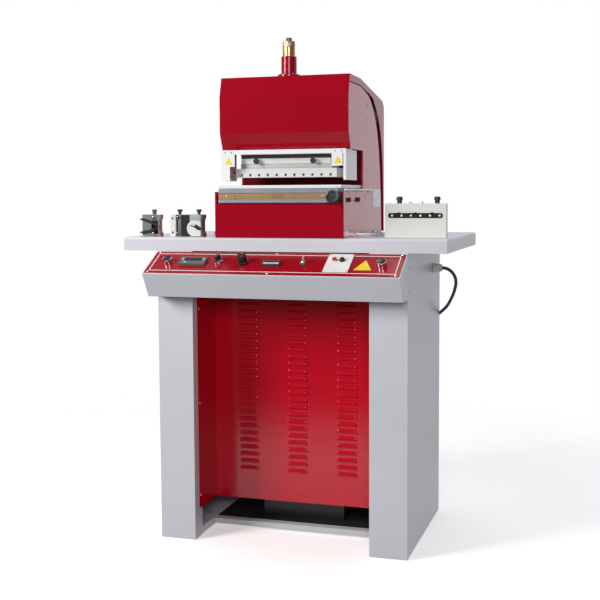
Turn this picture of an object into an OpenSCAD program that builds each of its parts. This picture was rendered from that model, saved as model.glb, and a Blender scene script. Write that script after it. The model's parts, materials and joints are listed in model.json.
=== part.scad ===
// Hot foil stamper: hydraulic press head on a sheet-metal cabinet table.
// Frame: millimetres, +Z up, front of the machine faces -Y, origin on the floor
// under the middle of the machine.

/* [Cabinet] */
// Width over the two side columns
cabinet_w = 750; // [650:5:850]
// Depth of the side columns
cabinet_d = 500; // [450:5:600]
// Width of each front column
column_w = 110; // [80:5:140]
// Thickness of the folded sheet
sheet = 2; // [1.5:0.5:3]
// Width of the table top
table_w = 965; // [860:5:1100]
// Depth of the table top
table_d = 545; // [500:5:640]
// Working height of the table top
table_h = 900; // [800:5:1000]
// Depth of the table top's folded skirt
skirt_h = 40; // [30:1:60]
// Distance from the columns' front to the recess back panel
recess_d = 173; // [120:1:250]
// Height of the recess back panel's lower edge
recess_low = 86; // [40:1:150]

/* [Control panel] */
// How far the control box stands out in front of the columns
box_out = 105; // [80:1:140]
// Height of the control box's front top edge
box_edge_z = 800; // [780:1:830]
// Height of the control box's underside
box_low_z = 731; // [700:1:760]
// How far the front face's lower edge stands out
box_low_out = 65; // [40:1:90]

/* [Press head] */
// Width over the two head plates
head_w = 384; // [340:2:440]
// Thickness of each head plate
plate_t = 5; // [4:1:10]
// Height of the head above the table
head_h = 461; // [420:1:520]
// Distance from the table's front edge to the ram axis
ram_y = 110; // [90:1:130]
// Depth of the throat from the table's front edge
throat_d = 224; // [200:1:260]
// Stroke of the ram
stroke = 20; // [10:1:22]

/* [Heated head] */
// Width of the type plate
type_plate_w = 306; // [280:2:330]
// Number of holes in the type plate's front
type_holes = 11; // [7:2:11]
// Pitch of those holes
type_pitch = 27; // [24:0.5:28]

/* [Louvres] */
// Rows of louvres in the recess back panel
louvre_rows = 25; // [10:1:25]
// Pitch of the louvres
louvre_pitch = 22; // [18:1:30]
// Width of one louvre
louvre_w = 62; // [40:1:80]

/* [Cord] */
// Diameter of the mains cable
cable_dia = 10; // [8:0.5:12]
// Number of sides of the cable's tube
cable_sides = 10; // [8:1:12]

/* [Hidden] */
$fn = 48;
// The middle of the machine lies this far behind the columns' front
middle_y = (table_d - box_out) / 2;
half_cab = cabinet_w / 2;
column_in = half_cab - column_w;
half_table = table_w / 2;
table_under = table_h - skirt_h;
half_head = head_w / 2;
plate_in = half_head - plate_t;
head_top = table_h + head_h;
panel_top_z = table_under - 2;
panel_angle = atan2(panel_top_z - box_edge_z, box_out);
panel_len = sqrt(pow(panel_top_z - box_edge_z, 2) + pow(box_out, 2));
panel_t = 2;
run_gap = 0.05;
foot_h = 25;
bed_z = table_h + 99;
bed_left = -178;
bed_right = 177;
bed_knob_x = 166;
rule_right = 144;
throat_low = table_h + 131;
throat_high = table_h + 251;
guard_low = table_h + 163;
pillar_x = 105;
knob_x = 86;
rod_r = 15;
cap_r = 8.95;
small_cap_r = 6.5;
wide_cap_r = 12;

// ---------- helpers ----------

// Everything is drawn from the columns' front plane and set back here.
module place() {
  translate([0, -middle_y, 0]) children();
}

// A box given by its two opposite corners.
module block(low, high) {
  translate(low) cube(high - low);
}

// The same child on both sides of the machine.
module both_sides() {
  children();
  mirror([1, 0, 0]) children();
}

// Extrude a (Y, Z) outline along X between two X positions.
module along_x(from_x, to_x) {
  translate([from_x, 0, 0])
    rotate([90, 0, 90])
      linear_extrude(height = to_x - from_x) children();
}

// Extrude an (X, Z) outline along Y between two Y positions.
module along_y(from_y, to_y) {
  translate([0, to_y, 0])
    rotate([90, 0, 0])
      linear_extrude(height = to_y - from_y) children();
}

// A frame on the sloping panel: x across, y up the slope, z out of the panel.
module on_panel(x, s) {
  translate([x, -s * cos(panel_angle), panel_top_z - s * sin(panel_angle)])
    rotate([panel_angle, 0, 0])
      translate([0, 0, panel_t]) children();
}

// A rounded-head screw standing on the XY plane.
module screw_head(r, h) {
  cylinder(r = r, h = h * 0.6);
  translate([0, 0, h * 0.6]) cylinder(r1 = r, r2 = r * 0.6, h = h * 0.4);
}

// Screw heads on a face whose outward side is +X or -X.
module side_screw(x, y, z, r, way) {
  translate([x, y, z]) rotate([0, 90 * way, 0]) screw_head(r, 2);
}

// A slab with rounded top edges on all four sides.
module rounded_slab(x, y0, y1, z0, z1, r) {
  intersection() {
    along_x(-x, x) {
      translate([y0, z0]) square([y1 - y0, z1 - z0 - r]);
      translate([y0 + r, z0]) square([y1 - y0 - 2 * r, z1 - z0]);
      translate([y0 + r, z1 - r]) circle(r = r);
      translate([y1 - r, z1 - r]) circle(r = r);
    }
    along_y(y0, y1) {
      translate([-x, z0]) square([2 * x, z1 - z0 - r]);
      translate([-x + r, z0]) square([2 * x - 2 * r, z1 - z0]);
      translate([-x + r, z1 - r]) circle(r = r);
      translate([x - r, z1 - r]) circle(r = r);
    }
  }
}

// A knurled-looking clamp knob: neck, head and a threaded tail below z = 0.
module knob_shape(head_r, neck_r, h, tail_r, tail) {
  translate([0, 0, -tail]) cylinder(r = tail_r, h = tail);
  cylinder(r = neck_r, h = h * 0.45);
  translate([0, 0, h * 0.45]) cylinder(r1 = neck_r, r2 = head_r, h = h * 0.15);
  translate([0, 0, h * 0.6]) cylinder(r = head_r, h = h * 0.4);
}

// ---------- cabinet ----------

module side_column() {
  y_end = cabinet_d;
  x0 = column_in;
  x1 = half_cab;
  linear_extrude(height = table_under)
    polygon([
      [x0, 33], [x0, 0], [x1, 0], [x1, y_end], [x1 - 35, y_end], [x1 - 35, y_end - sheet],
      [x1 - sheet, y_end - sheet], [x1 - sheet, sheet], [x0 + sheet, sheet],
      [x0 + sheet, 31], [x0 + 2 * sheet, 31], [x0 + 2 * sheet, 60], [x0 + sheet, 60],
      [x0 + sheet, 33]
    ]);
  // foot channel between the column's faces
  block([x0 + sheet, sheet, foot_h - sheet], [x1 - sheet, y_end - sheet, foot_h]);
  block([x0, 33, 3], [x0 + sheet, y_end - sheet, foot_h]);
  // top flange that carries the table
  block([x1 - 30, sheet, table_under - sheet], [x1 - sheet, y_end - sheet, table_under]);
}

module right_side() {
  gland_y = 388;
  gland_z = 795;
  color([0.78, 0.79, 0.8]) place()
    difference() {
      side_column();
      translate([half_cab - 10, gland_y, gland_z]) rotate([0, 90, 0]) cylinder(r = 10, h = 20);
    }
}

module left_side() {
  color([0.78, 0.79, 0.8]) place() mirror([1, 0, 0]) side_column();
}

module louvre() {
  // a pressed hood, open at the bottom
  along_x(-louvre_w / 2, louvre_w / 2)
    polygon([[0, 0], [-5, 0], [-5, 1.2], [0, 12]]);
}

module louvre_slot() {
  along_x(-louvre_w / 2 + 1.5, louvre_w / 2 - 1.5)
    polygon([[3, -1], [-4, -1], [-4, 1], [0, 9], [3, 9]]);
}

module recess_panel() {
  x1 = column_in;
  y1 = recess_d;
  color([0.65, 0.05, 0.1]) place() {
    difference() {
      union() {
        block([-x1, y1, recess_low], [x1, y1 + sheet, table_under - 4]);
        for (c = [-155, 0, 155])
          for (r = [0 : louvre_rows - 1])
            translate([c, y1, 178 + r * louvre_pitch]) louvre();
      }
      for (c = [-155, 0, 155])
        for (r = [0 : louvre_rows - 1])
          translate([c, y1, 178 + r * louvre_pitch]) louvre_slot();
    }
    both_sides() block([x1, 34, recess_low], [x1 + sheet, y1 + sheet, table_under - 4]);
  }
}

module base_pan() {
  x1 = column_in;
  color([0.62, 0.63, 0.65]) place() {
    block([-x1, 151, 20], [x1, cabinet_d - sheet, 22]);
    block([-x1, 151, 6], [x1, 153, 20]);
    block([-x1, cabinet_d - 2 * sheet, 6], [x1, cabinet_d - sheet, 20]);
  }
}

module rear_cover() {
  color([0.78, 0.79, 0.8]) place()
    difference() {
      block([-half_cab + 3, cabinet_d, 30], [half_cab - 3, cabinet_d + sheet, table_under - 5]);
      for (c = [-170, 170])
        for (r = [0 : 9])
          block([c - 60, cabinet_d - 1, 520 + r * 20], [c + 60, cabinet_d + 3, 526 + r * 20]);
    }
}

module table_top() {
  wall = 3;
  color([0.8, 0.81, 0.82]) place() {
    difference() {
      rounded_slab(half_table, 0, table_d, table_under, table_h, 8);
      rounded_slab(half_table - wall, wall, table_d - wall, table_under - 1, table_h - wall, 5);
      translate([0, 340, table_h - 10]) cylinder(r = 14, h = 20);
    }
    both_sides() for (x = [half_cab - 30, half_cab - 6])
      block([x, wall, table_under], [x + wall, table_d - wall, table_h - wall]);
  }
}

// ---------- control box ----------

module control_box() {
  t = panel_t;
  outer = [[0, panel_top_z], [-box_out, box_edge_z], [-box_low_out, box_low_z], [0, box_low_z]];
  inner = [[-t, panel_top_z - 3.4], [-box_out + 2.75, box_edge_z - 0.77],
           [-box_low_out + 1.15, box_low_z + t], [-t, box_low_z + t]];
  color([0.75, 0.76, 0.78]) place()
    difference() {
      along_x(-half_cab, half_cab) polygon(outer);
      along_x(-half_cab + t, half_cab - t) polygon(inner);
      on_panel(0, panel_len / 2)
        translate([-half_cab + 15, -panel_len / 2 + 12, -10])
          cube([cabinet_w - 30, panel_len - 24, 20]);
    }
}

start_x = [-315, 315];
start_s = 62;
selector_x = -163;
selector_s = 54;
dial_x = -87;
dial_s = 58;
toggle_x = 89;
toggle_s = 56;
controller_x = -237;
controller_s = 60;
counter_x = -1;
counter_s = 64;
switch_x = 191.5;
switch_s = 56;
stop_x = 178;
run_x = 200;
small_s = 44;

module panel_plate() {
  color([0.65, 0.05, 0.1]) place()
    difference() {
      on_panel(0, panel_len / 2)
        translate([-half_cab + 4, -panel_len / 2 + 4, -panel_t])
          cube([cabinet_w - 8, panel_len - 8, panel_t]);
      for (x = start_x) on_panel(x, start_s) translate([0, 0, -10]) cylinder(r = 11, h = 20);
      on_panel(selector_x, selector_s) translate([0, 0, -10]) cylinder(r = 11, h = 20);
      on_panel(dial_x, dial_s) translate([0, 0, -10]) cylinder(r = 4, h = 20);
      on_panel(toggle_x, toggle_s) translate([0, 0, -10]) cylinder(r = 5.5, h = 20);
      on_panel(controller_x, controller_s) translate([-35, -14.5, -10]) cube([70, 29, 20]);
      on_panel(counter_x, counter_s) translate([-23, -10, -10]) cube([46, 20, 20]);
    }
}

// An instrument: a raised frame round a sunk display, and a case behind the panel.
module instrument(w, h, rise, case_w, case_h, depth) {
  difference() {
    translate([-w / 2, -h / 2, 0]) cube([w, h, rise]);
    translate([-w / 2 + 6, -h / 2 + 6, rise - 2]) cube([w - 12, h - 12, 5]);
  }
  translate([-case_w / 2, -case_h / 2, -depth]) cube([case_w, case_h, depth]);
}

module instruments() {
  color([0.2, 0.2, 0.22]) place() {
    on_panel(controller_x, controller_s) instrument(78, 36, 8, 70, 29, 46);
    on_panel(counter_x, counter_s) instrument(53, 24, 7, 46, 20, 40);
  }
}

module switch_plate() {
  color([0.9, 0.9, 0.9]) place() {
    difference() {
      on_panel(switch_x, switch_s) translate([-35.5, -45, 0]) cube([71, 90, 3]);
      for (x = [stop_x, run_x])
        on_panel(x, small_s) translate([0, 0, 1]) cylinder(r = small_cap_r + run_gap, h = 10);
    }
    for (x = [stop_x, run_x])
      on_panel(x, small_s) translate([0, 0, 3])
        difference() {
          cylinder(r = 8.2, h = 3);
          translate([0, 0, -1]) cylinder(r = small_cap_r + run_gap, h = 5);
        }
  }
}

// A control's body: ring above the panel, barrel below it, stepped blind bore.
module ring_body(rise) {
  difference() {
    union() {
      cylinder(r = 14.5, h = 3);
      translate([0, 0, 3]) cylinder(r1 = 14.5, r2 = 13.8, h = rise);
      translate([0, 0, -34]) cylinder(r = 11, h = 34);
    }
    translate([0, 0, -24]) cylinder(r = cap_r + run_gap, h = 40);
    translate([0, 0, 0.4]) cylinder(r = wide_cap_r + run_gap, h = 20);
  }
}

module control_bezels() {
  color([0.75, 0.75, 0.77]) place() {
    for (x = start_x) on_panel(x, start_s) ring_body(12);
    on_panel(selector_x, selector_s) ring_body(5);
    on_panel(dial_x, dial_s) {
      translate([0, 0, -20]) cylinder(r = 4, h = 20);
      cylinder(r = 7, h = 2);
      translate([0, 0, 2]) cylinder(r = 3, h = 10);
    }
    on_panel(toggle_x, toggle_s)
      difference() {
        union() {
          translate([0, 0, -20]) cylinder(r = 5.5, h = 26.5);
          cylinder(r = 9, h = 5, $fn = 6);
        }
        translate([0, 0, -4]) cylinder(r = 4.2, h = 20);
      }
  }
}

module start_button(x) {
  color([0.05, 0.05, 0.05]) place()
    on_panel(x, start_s) {
      translate([0, 0, -8]) cylinder(r = cap_r, h = 12.6);
      translate([0, 0, 4.6]) cylinder(r = wide_cap_r, h = 10.4);
      translate([0, 0, 15]) cylinder(r1 = wide_cap_r, r2 = wide_cap_r - 1, h = 1);
    }
}

module start_button_left() { start_button(start_x[0]); }
module start_button_right() { start_button(start_x[1]); }

module selector_lever() {
  color([0.05, 0.05, 0.05]) place()
    on_panel(selector_x, selector_s) {
      translate([0, 0, -8]) cylinder(r = cap_r, h = 11);
      translate([0, 0, 3]) cylinder(r = wide_cap_r, h = 9);
      translate([0, 0, 12]) linear_extrude(height = 9)
        polygon([[-4, -11.4], [4, -11.4], [4, 9], [0, 15], [-4, 9]]);
    }
}

module dial_knob() {
  color([0.05, 0.05, 0.05]) place()
    on_panel(dial_x, dial_s)
      difference() {
        union() {
          translate([0, 0, 2.5]) cylinder(r = 16.5, h = 3);
          translate([0, 0, 5.5]) cylinder(r1 = 13, r2 = 11.5, h = 20.5);
        }
        translate([0, 0, 2]) cylinder(r = 3 + run_gap, h = 11);
      }
}

module toggle_lever() {
  color([0.8, 0.8, 0.82]) place()
    on_panel(toggle_x, toggle_s) translate([0, 0, 3]) rotate([0, 15, 0]) {
      rotate([90, 0, 0]) cylinder(r = 2.6, h = 5, center = true);
      cylinder(r1 = 1.5, r2 = 2.6, h = 18);
      translate([0, 0, 18]) sphere(r = 2.6);
    }
}

module small_button(x) {
  on_panel(x, small_s) translate([0, 0, 2.6]) cylinder(r = small_cap_r, h = 7);
}

module stop_button() { color([0.8, 0.05, 0.05]) place() small_button(stop_x); }
module run_button() { color([0.05, 0.05, 0.05]) place() small_button(run_x); }

// ---------- fasteners ----------

module screws() {
  recess_x = column_in;
  color([0.6, 0.6, 0.62]) place() {
    for (x = [-half_cab + 14, 0, half_cab - 14])
      for (s = [9, panel_len - 9]) on_panel(x, s) screw_head(3.5, 2);
    both_sides() {
      for (z = [754, 819]) side_screw(half_cab, 20, z, 4, 1);
      for (z = [125, 405, 686]) side_screw(recess_x, 46, z, 4, -1);
      side_screw(half_head, 76, table_h + 364, 3, 1);
      side_screw(half_head, 74, table_h + 123, 2.5, 1);
      side_screw(half_head, 148, table_h + 125, 2.5, 1);
      side_screw(half_head, 108, table_h + 106, 2.5, 1);
      for (y = [180, 314]) translate([294, y, foot_h]) cylinder(r = 7, h = 6, $fn = 6);
      translate([235, 203, table_h + 10]) cylinder(r = 9, h = 8, $fn = 6);
      for (z = [50, 440, 830])
        translate([half_cab - 17, cabinet_d + sheet, z]) rotate([-90, 0, 0]) screw_head(4, 2);
    }
  }
}

// ---------- inside the cabinet ----------

module power_pack() {
  color([0.35, 0.37, 0.4]) place() {
    difference() {
      block([-130, 230, 22], [130, 450, 250]);
      block([-127, 233, 25], [127, 447, 251]);
    }
    block([-134, 226, 250], [134, 454, 256]);
    translate([-70, 340, 256]) cylinder(r = 55, h = 170);
    translate([-70, 340, 426]) cylinder(r1 = 50, r2 = 44, h = 24);
    block([-20, 320, 256], [20, 360, 300]);
  }
}

module pressure_hose() {
  hose_r = 8;
  bend_r = 40;
  hose_y = 340;
  hose_z = head_top - 91;
  color([0.1, 0.1, 0.1]) place() {
    translate([0, hose_y, 300]) cylinder(r = hose_r, h = hose_z - bend_r - 300);
    translate([0, hose_y - bend_r, hose_z - bend_r])
      rotate([90, 0, 90])
        rotate_extrude(angle = 90) translate([bend_r, 0]) circle(r = hose_r);
    translate([0, ram_y + 48, hose_z]) rotate([-90, 0, 0])
      cylinder(r = hose_r, h = hose_y - bend_r - ram_y - 48);
  }
}

// ---------- press head ----------

plate_edge = [
  [181, 438], [215, 434], [260, 426], [300, 416], [326, 403], [358, 380], [385, 350],
  [406, 318], [422, 280], [434, 240], [445, 190], [453, 130], [459, 70], [464, 0]
];

module head_plate() {
  notch_y = 172;
  y1 = throat_d;
  difference() {
    translate([0, 0, table_h]) along_x(plate_in, half_head)
      polygon(concat(
        [[4, 0], [4, 131], [y1, 131], [y1, 251], [74, 251], [53, 300], [53, 403], [62.6, 438]],
        plate_edge));
    // passage for the hold-down bar
    block([plate_in - 1, notch_y, table_h - 1], [half_head + 1, 234, table_h + 10.5]);
    // adjusting slots beside the bed
    block([plate_in - 1, 25, table_h + 100], [half_head + 1, 85, table_h + 113]);
    block([plate_in - 1, 125, table_h + 100], [half_head + 1, 189, table_h + 113]);
    block([plate_in - 1, 274, table_h + 382], [half_head + 1, 278, table_h + 399]);
    block([plate_in - 1, 249, table_h + 109], [half_head + 1, 253, table_h + 118]);
    for (z = [346, 197])
      translate([plate_in - 1, 276, table_h + z]) rotate([0, 90, 0]) cylinder(r = 3, h = 7);
  }
}

module right_head_plate() { color([0.65, 0.05, 0.1]) place() head_plate(); }
module left_head_plate() { color([0.65, 0.05, 0.1]) place() mirror([1, 0, 0]) head_plate(); }

module hood() {
  w = half_head + 2;
  top = head_h;
  color([0.7, 0.05, 0.1]) place() translate([0, 0, table_h]) {
    along_x(-w, w)
      polygon([[71, 252], [50, 300], [50, 403], [66, top], [91, top], [91, top - 2],
               [67.5, top - 2], [52, 402.7], [52, 300.4], [72.8, 252.8]]);
    both_sides() along_x(plate_in - 3, plate_in - 1)
      polygon([[72.8, 252.8], [52, 300.4], [52, 402.7], [67.5, top - 2], [91, top - 2],
               [91, 430], [82, 400], [82, 305], [100, 252.8]]);
  }
}

cover_outline = [[68, 458.7], [91.3, 458.7], [91.3, 461], [190, 461], [480, 418], [500, 400], [500, 4]];
flange_edge = [
  [497, 4], [492, 90], [486, 170], [477, 235], [465, 285], [448, 325], [425, 358],
  [395, 385], [372, 400], [356, 414], [300, 426], [230, 435], [190, 441], [68, 441]
];
inner_edge = [
  [430, 4], [425, 90], [412, 200], [385, 290], [350, 345], [300, 385], [230, 405], [92, 415]
];

module head_rear_cover() {
  shell = [[91.3, 461], [190, 461], [480, 418], [500, 400], [500, 4],
           [498, 4], [498, 399.2], [479.3, 416.1], [189.9, 459], [91.3, 459]];
  color([0.62, 0.05, 0.1]) place() translate([0, 0, table_h])
    difference() {
      union() {
        along_x(-half_head, half_head) polygon(shell);
        both_sides() {
          along_x(half_head - 2, half_head) polygon(concat(cover_outline, flange_edge));
          along_x(half_head - 30, half_head - 28)
            polygon(concat([[92, 459.5], [190, 459.5], [479, 417], [499, 399], [499, 4]],
                           inner_edge));
        }
      }
      translate([0, ram_y, head_h - 10]) cylinder(r = 19, h = 20);
    }
}

module base_cover() {
  color([0.7, 0.05, 0.1]) place() translate([0, 0, table_h]) {
    block([-half_head, 2, 0], [half_head, 4, 98]);
    both_sides() block([plate_in, 2, 98], [half_head, 4, 131]);
  }
}

module clamp_bar() {
  color([0.55, 0.57, 0.6]) place() block([-265, 173, table_h], [265, 233, table_h + 10]);
}

module throat_panel() {
  color([0.5, 0.03, 0.07]) place()
    block([-plate_in, throat_d, throat_low], [plate_in, throat_d + 2, table_h + 263]);
}

module bridge_plate() {
  z0 = table_h + 265;
  z1 = table_h + 290;
  color([0.4, 0.42, 0.45]) place()
    difference() {
      union() {
        block([-plate_in + 4, 76, z0], [plate_in - 4, throat_d - 1, z1]);
        block([-plate_in, 104, z0], [plate_in, throat_d - 1, z1]);
      }
      translate([0, ram_y, z0 - 1]) cylinder(r = rod_r + run_gap, h = 30);
      for (x = [-pillar_x, pillar_x])
        translate([x, ram_y, z0 - 1]) cylinder(r = 10 + run_gap, h = 30);
    }
}

module ram_cylinder() {
  z0 = table_h + 290;
  color([0.3, 0.32, 0.35]) place() translate([0, ram_y, z0])
    difference() {
      cylinder(r = 48, h = 145);
      translate([0, 0, 15]) cylinder(r = 32, h = 115);
      translate([0, 0, -1]) cylinder(r = rod_r + run_gap, h = 147);
    }
}

module sleeve_tube() {
  color([0.7, 0.05, 0.1]) place() translate([0, ram_y, head_top])
    difference() {
      union() {
        cylinder(r = 33, h = 7);
        cylinder(r = 22.5, h = 59);
      }
      translate([0, 0, -1]) cylinder(r = 19, h = 61);
    }
}

module guard() {
  w = 188;
  color([0.92, 0.92, 0.92]) place() {
    block([-w, 44, table_h + 238], [w, 46, table_h + 251]);
    block([-w, 44, guard_low], [-w + 27, 46, table_h + 205]);
    both_sides() {
      block([w - 2, 44, guard_low], [w, 165, table_h + 251]);
      block([w - 8, 44, guard_low], [w, 46, table_h + 251]);
      block([w - 42, 44, table_h + 203], [w - 5, 46, table_h + 238]);
      block([w - 28, 46, table_h + 249], [w - 2, 100, table_h + 251]);
      block([w, 80, table_h + 249], [half_head - 1, 100, table_h + 251]);
    }
  }
}

module anvil_block() {
  color([0.4, 0.42, 0.44]) place()
    difference() {
      block([-150, 24, table_h], [150, 218, bed_z]);
      block([-151, 172, table_h - 1], [151, 234, table_h + 10]);
      block([-120, 10, table_h + 20], [120, 160, table_h + 60]);
    }
}

module side_guide() {
  color([0.85, 0.85, 0.86]) place() {
    block([half_head, 8, table_h + 133], [half_head + 8, 315, table_h + 138]);
    for (y = [40, 290])
      block([half_head, y, table_h + 127], [half_head + 3, y + 16, table_h + 133]);
  }
}

// ---------- ram ----------

module ram_rod() {
  z0 = table_h + 250;
  color([0.75, 0.76, 0.78]) place() translate([0, ram_y, 0]) {
    translate([0, 0, z0]) cylinder(r = rod_r, h = 200);
    translate([0, 0, z0 + 200]) cylinder(r = 8, h = 114);
    translate([0, 0, z0 + 314]) cylinder(r = 5, h = 8.5);
    translate([0, 0, table_h + 385]) cylinder(r = 32 - run_gap, h = 30);
  }
}

module ram_plate() {
  z0 = table_h + 237;
  color([0.6, 0.62, 0.64]) place() {
    block([-140, 74, z0], [140, 148, table_h + 250]);
    for (x = [-pillar_x, pillar_x])
      translate([x, ram_y, table_h + 250]) cylinder(r = 10, h = 180);
  }
}

module insulation_plate() {
  color([0.08, 0.08, 0.08]) place()
    block([-136, 72, table_h + 227], [136, 148, table_h + 237]);
}

module heater_block() {
  color([0.9, 0.9, 0.88]) place()
    difference() {
      block([-136, 72, table_h + 211], [136, 148, table_h + 227]);
      for (x = [-knob_x, knob_x])
        translate([x, 60, table_h + 219]) rotate([-90, 0, 0]) cylinder(r = 4 + run_gap, h = 32);
    }
}

module type_plate() {
  hole_z = table_h + 179;
  first = -(type_holes - 1) / 2;
  color([0.7, 0.7, 0.71]) place()
    difference() {
      union() {
        block([-138, 74, table_h + 198], [138, 148, table_h + 211]);
        block([-type_plate_w / 2, 72, table_h + 172], [type_plate_w / 2, 150, table_h + 198]);
      }
      for (i = [0 : type_holes - 1])
        translate([(first + i) * type_pitch, 60, hole_z]) rotate([-90, 0, 0])
          cylinder(r = 4, h = 60);
    }
}

module brass_sleeve() {
  color([0.75, 0.6, 0.3]) place() translate([0, ram_y, table_h + 500])
    difference() {
      cylinder(r = 18, h = 64);
      translate([0, 0, -1]) cylinder(r = 8, h = 66);
    }
}

module heater_lead() {
  // a small junction clip and two stiff lead loops outside the type plate's left end
  x0 = -type_plate_w / 2;
  z0 = table_h + 180;
  wire_r = 1.6;
  loop_r = 7;
  color([0.5, 0.25, 0.08]) place() {
    block([x0 - 8, 90, z0 - 6], [x0, 110, z0 + 12]);
    for (y = [94, 106])
      translate([x0 - 7, y, z0 + 3]) rotate([90, -90, 0])
        rotate_extrude(angle = 180, $fn = 24) translate([loop_r, 0]) circle(r = wire_r, $fn = 16);
  }
}

module stroke_nut() {
  color([0.7, 0.71, 0.73]) place() translate([0, ram_y, table_h + 564.3])
    difference() {
      cylinder(r = 9, h = 10, $fn = 6);
      translate([0, 0, -1]) cylinder(r = 5 + run_gap, h = 12);
    }
}

module clamp_knob(x) {
  color([0.05, 0.05, 0.05]) place()
    translate([x, 71.6, table_h + 219]) rotate([90, 0, 0]) {
      translate([0, 0, -16]) cylinder(r = 4, h = 16);
      cylinder(r = 6, h = 5);
      translate([0, 0, 5]) cylinder(r = 8, h = 9);
    }
}

module clamp_knob_left() { clamp_knob(-knob_x); }
module clamp_knob_right() { clamp_knob(knob_x); }

// ---------- bed ----------

module bed_slide() {
  color([0.7, 0.71, 0.73]) place() {
    difference() {
      union() {
        block([bed_left, -6, bed_z + 0.4], [bed_right, 215, bed_z + 10]);
        block([bed_left, 0, bed_z + 10], [bed_right, 215, bed_z + 41]);
      }
      block([-160, 10, bed_z + 16], [140, 200, bed_z + 42]);
      translate([bed_knob_x, -10, bed_z + 17]) rotate([-90, 0, 0]) cylinder(r = 5 + run_gap, h = 30);
    }
    block([bed_left, -4, bed_z + 27], [rule_right, 0, bed_z + 39]);
  }
}

module bed_plate() {
  color([0.93, 0.93, 0.93]) place()
    block([bed_left, -2, bed_z + 41], [186, 222, bed_z + 50]);
}

module brass_rule() {
  color([0.75, 0.6, 0.35]) place() block([bed_left, -5, bed_z + 10], [rule_right, 0, bed_z + 27]);
}

module bed_knob() {
  knob_r = 18.2;
  color([0.05, 0.05, 0.05]) place() translate([bed_knob_x, 0, bed_z + 17]) rotate([90, 0, 0]) {
    translate([0, 0, -18]) cylinder(r = 5, h = 18);
    cylinder(r = 6.5, h = 8.5);
    difference() {
      translate([0, 0, 8.5]) cylinder(r = knob_r, h = 20);
      translate([0, 0, 24]) cylinder(r1 = 9, r2 = 14, h = 6);
    }
  }
}

// ---------- holders kept on the table ----------

holder_depth = 20;
jaw_knob_x = -401;
round_knob_x = [-323, -262];

module chase_holder() {
  x0 = 293;
  x1 = 467;
  y0 = 72;
  z0 = table_h;
  mid = (x0 + x1) / 2;
  color([0.85, 0.84, 0.79]) place()
    difference() {
      block([x0, y0, z0], [x1, y0 + 24, z0 + 96]);
      along_y(y0 - 1, y0 + 8) {
        translate([mid - 71, z0 + 62]) circle(r = 7);
        translate([mid + 71, z0 + 62]) circle(r = 7);
        translate([mid - 71, z0 + 55]) square([142, 14]);
      }
      for (i = [0 : 5])
        translate([mid + (i - 2.5) * type_pitch, y0 + 20, z0 + 62]) rotate([90, 0, 0])
          cylinder(r = 2.5, h = 20);
      for (x = [x0 + 40, x1 - 27])
        translate([x, y0 + 12, z0 + 80]) cylinder(r = 3 + run_gap, h = 20);
    }
}

module chase_knob(x) {
  color([0.05, 0.05, 0.05]) place() translate([x, 84, table_h + 96.4])
    knob_shape(9, 7, 19, 3, 12);
}

module chase_knob_left() { chase_knob(333); }
module chase_knob_right() { chase_knob(440); }

module jaw_holder() {
  x0 = -438;
  depth = holder_depth;
  y0 = 30;
  z0 = table_h;
  color([0.4, 0.41, 0.42]) place() {
    difference() {
      block([x0, y0, z0], [x0 + 53, y0 + depth, z0 + 65]);
      block([x0 + 29, y0 - 1, z0 + 10], [x0 + 51, y0 + 12, z0 + 46]);
      translate([jaw_knob_x, y0 + 10, z0 + 50]) cylinder(r = 3 + run_gap, h = 20);
    }
    block([x0 + 53, y0, z0], [x0 + 57, y0 + depth, z0 + 65]);
    block([x0 + 57, y0, z0], [x0 + 61, y0 + depth, z0 + 12]);
    block([x0 + 57, y0, z0 + 53], [x0 + 61, y0 + depth, z0 + 65]);
    for (z = [11, 52])
      translate([x0, y0 + 10, z0 + z]) rotate([0, -90, 0]) cylinder(r1 = 5, r2 = 1, h = 10);
    for (z = [9, 56])
      translate([x0 + 37, y0, z0 + z]) rotate([90, 0, 0]) cylinder(r1 = 4.5, r2 = 3, h = 3);
  }
}

module jaw_knob() {
  color([0.05, 0.05, 0.05]) place() translate([jaw_knob_x, 40, table_h + 65.4])
    knob_shape(7.5, 5.5, 15, 3, 10);
}

module round_holder() {
  x0 = -351;
  depth = holder_depth;
  y0 = 40;
  z0 = table_h;
  color([0.82, 0.81, 0.76]) place() {
    block([x0, y0, z0], [x0 + 18, y0 + depth, z0 + 65]);
    difference() {
      block([x0 + 18, y0 + 3, z0], [x0 + 100, y0 + depth, z0 + 65]);
      for (x = round_knob_x)
        translate([x, y0 + 10, z0 + 50]) cylinder(r = 3 + run_gap, h = 20);
    }
    difference() {
      translate([x0 + 76, y0 + 3, z0 + 25]) rotate([90, 0, 0]) cylinder(r = 24, h = 3);
      block([x0 + 62, y0 - 1, z0 + 20], [x0 + 101, y0 + 1, z0 + 35]);
    }
    block([x0 + 100, y0, z0], [x0 + 104, y0 + depth, z0 + 65]);
    for (z = [z0, z0 + 54])
      block([x0 + 104, y0, z], [x0 + 108, y0 + depth, z + 11]);
  }
}

module round_knob(x) {
  color([0.05, 0.05, 0.05]) place() translate([x, 50, table_h + 65.4])
    knob_shape(7.5, 5.5, 15, 3, 10);
}

module round_knob_left() { round_knob(round_knob_x[0]); }
module round_knob_right() { round_knob(round_knob_x[1]); }

// ---------- mains cord ----------

gland_at = [375, 388, 795];

module cable_gland() {
  color([0.8, 0.8, 0.78]) place() translate(gland_at) rotate([0, 90, 0]) {
    translate([0, 0, -14]) cylinder(r = 10, h = 14);
    translate([0, 0, -12]) cylinder(r = 14, h = 10, $fn = 6);
    cylinder(r = 15, h = 7, $fn = 6);
    translate([0, 0, 7]) cylinder(r = 12.5, h = 14);
    translate([0, 0, 21]) cylinder(r1 = 12.5, r2 = 8, h = 7);
  }
}

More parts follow.
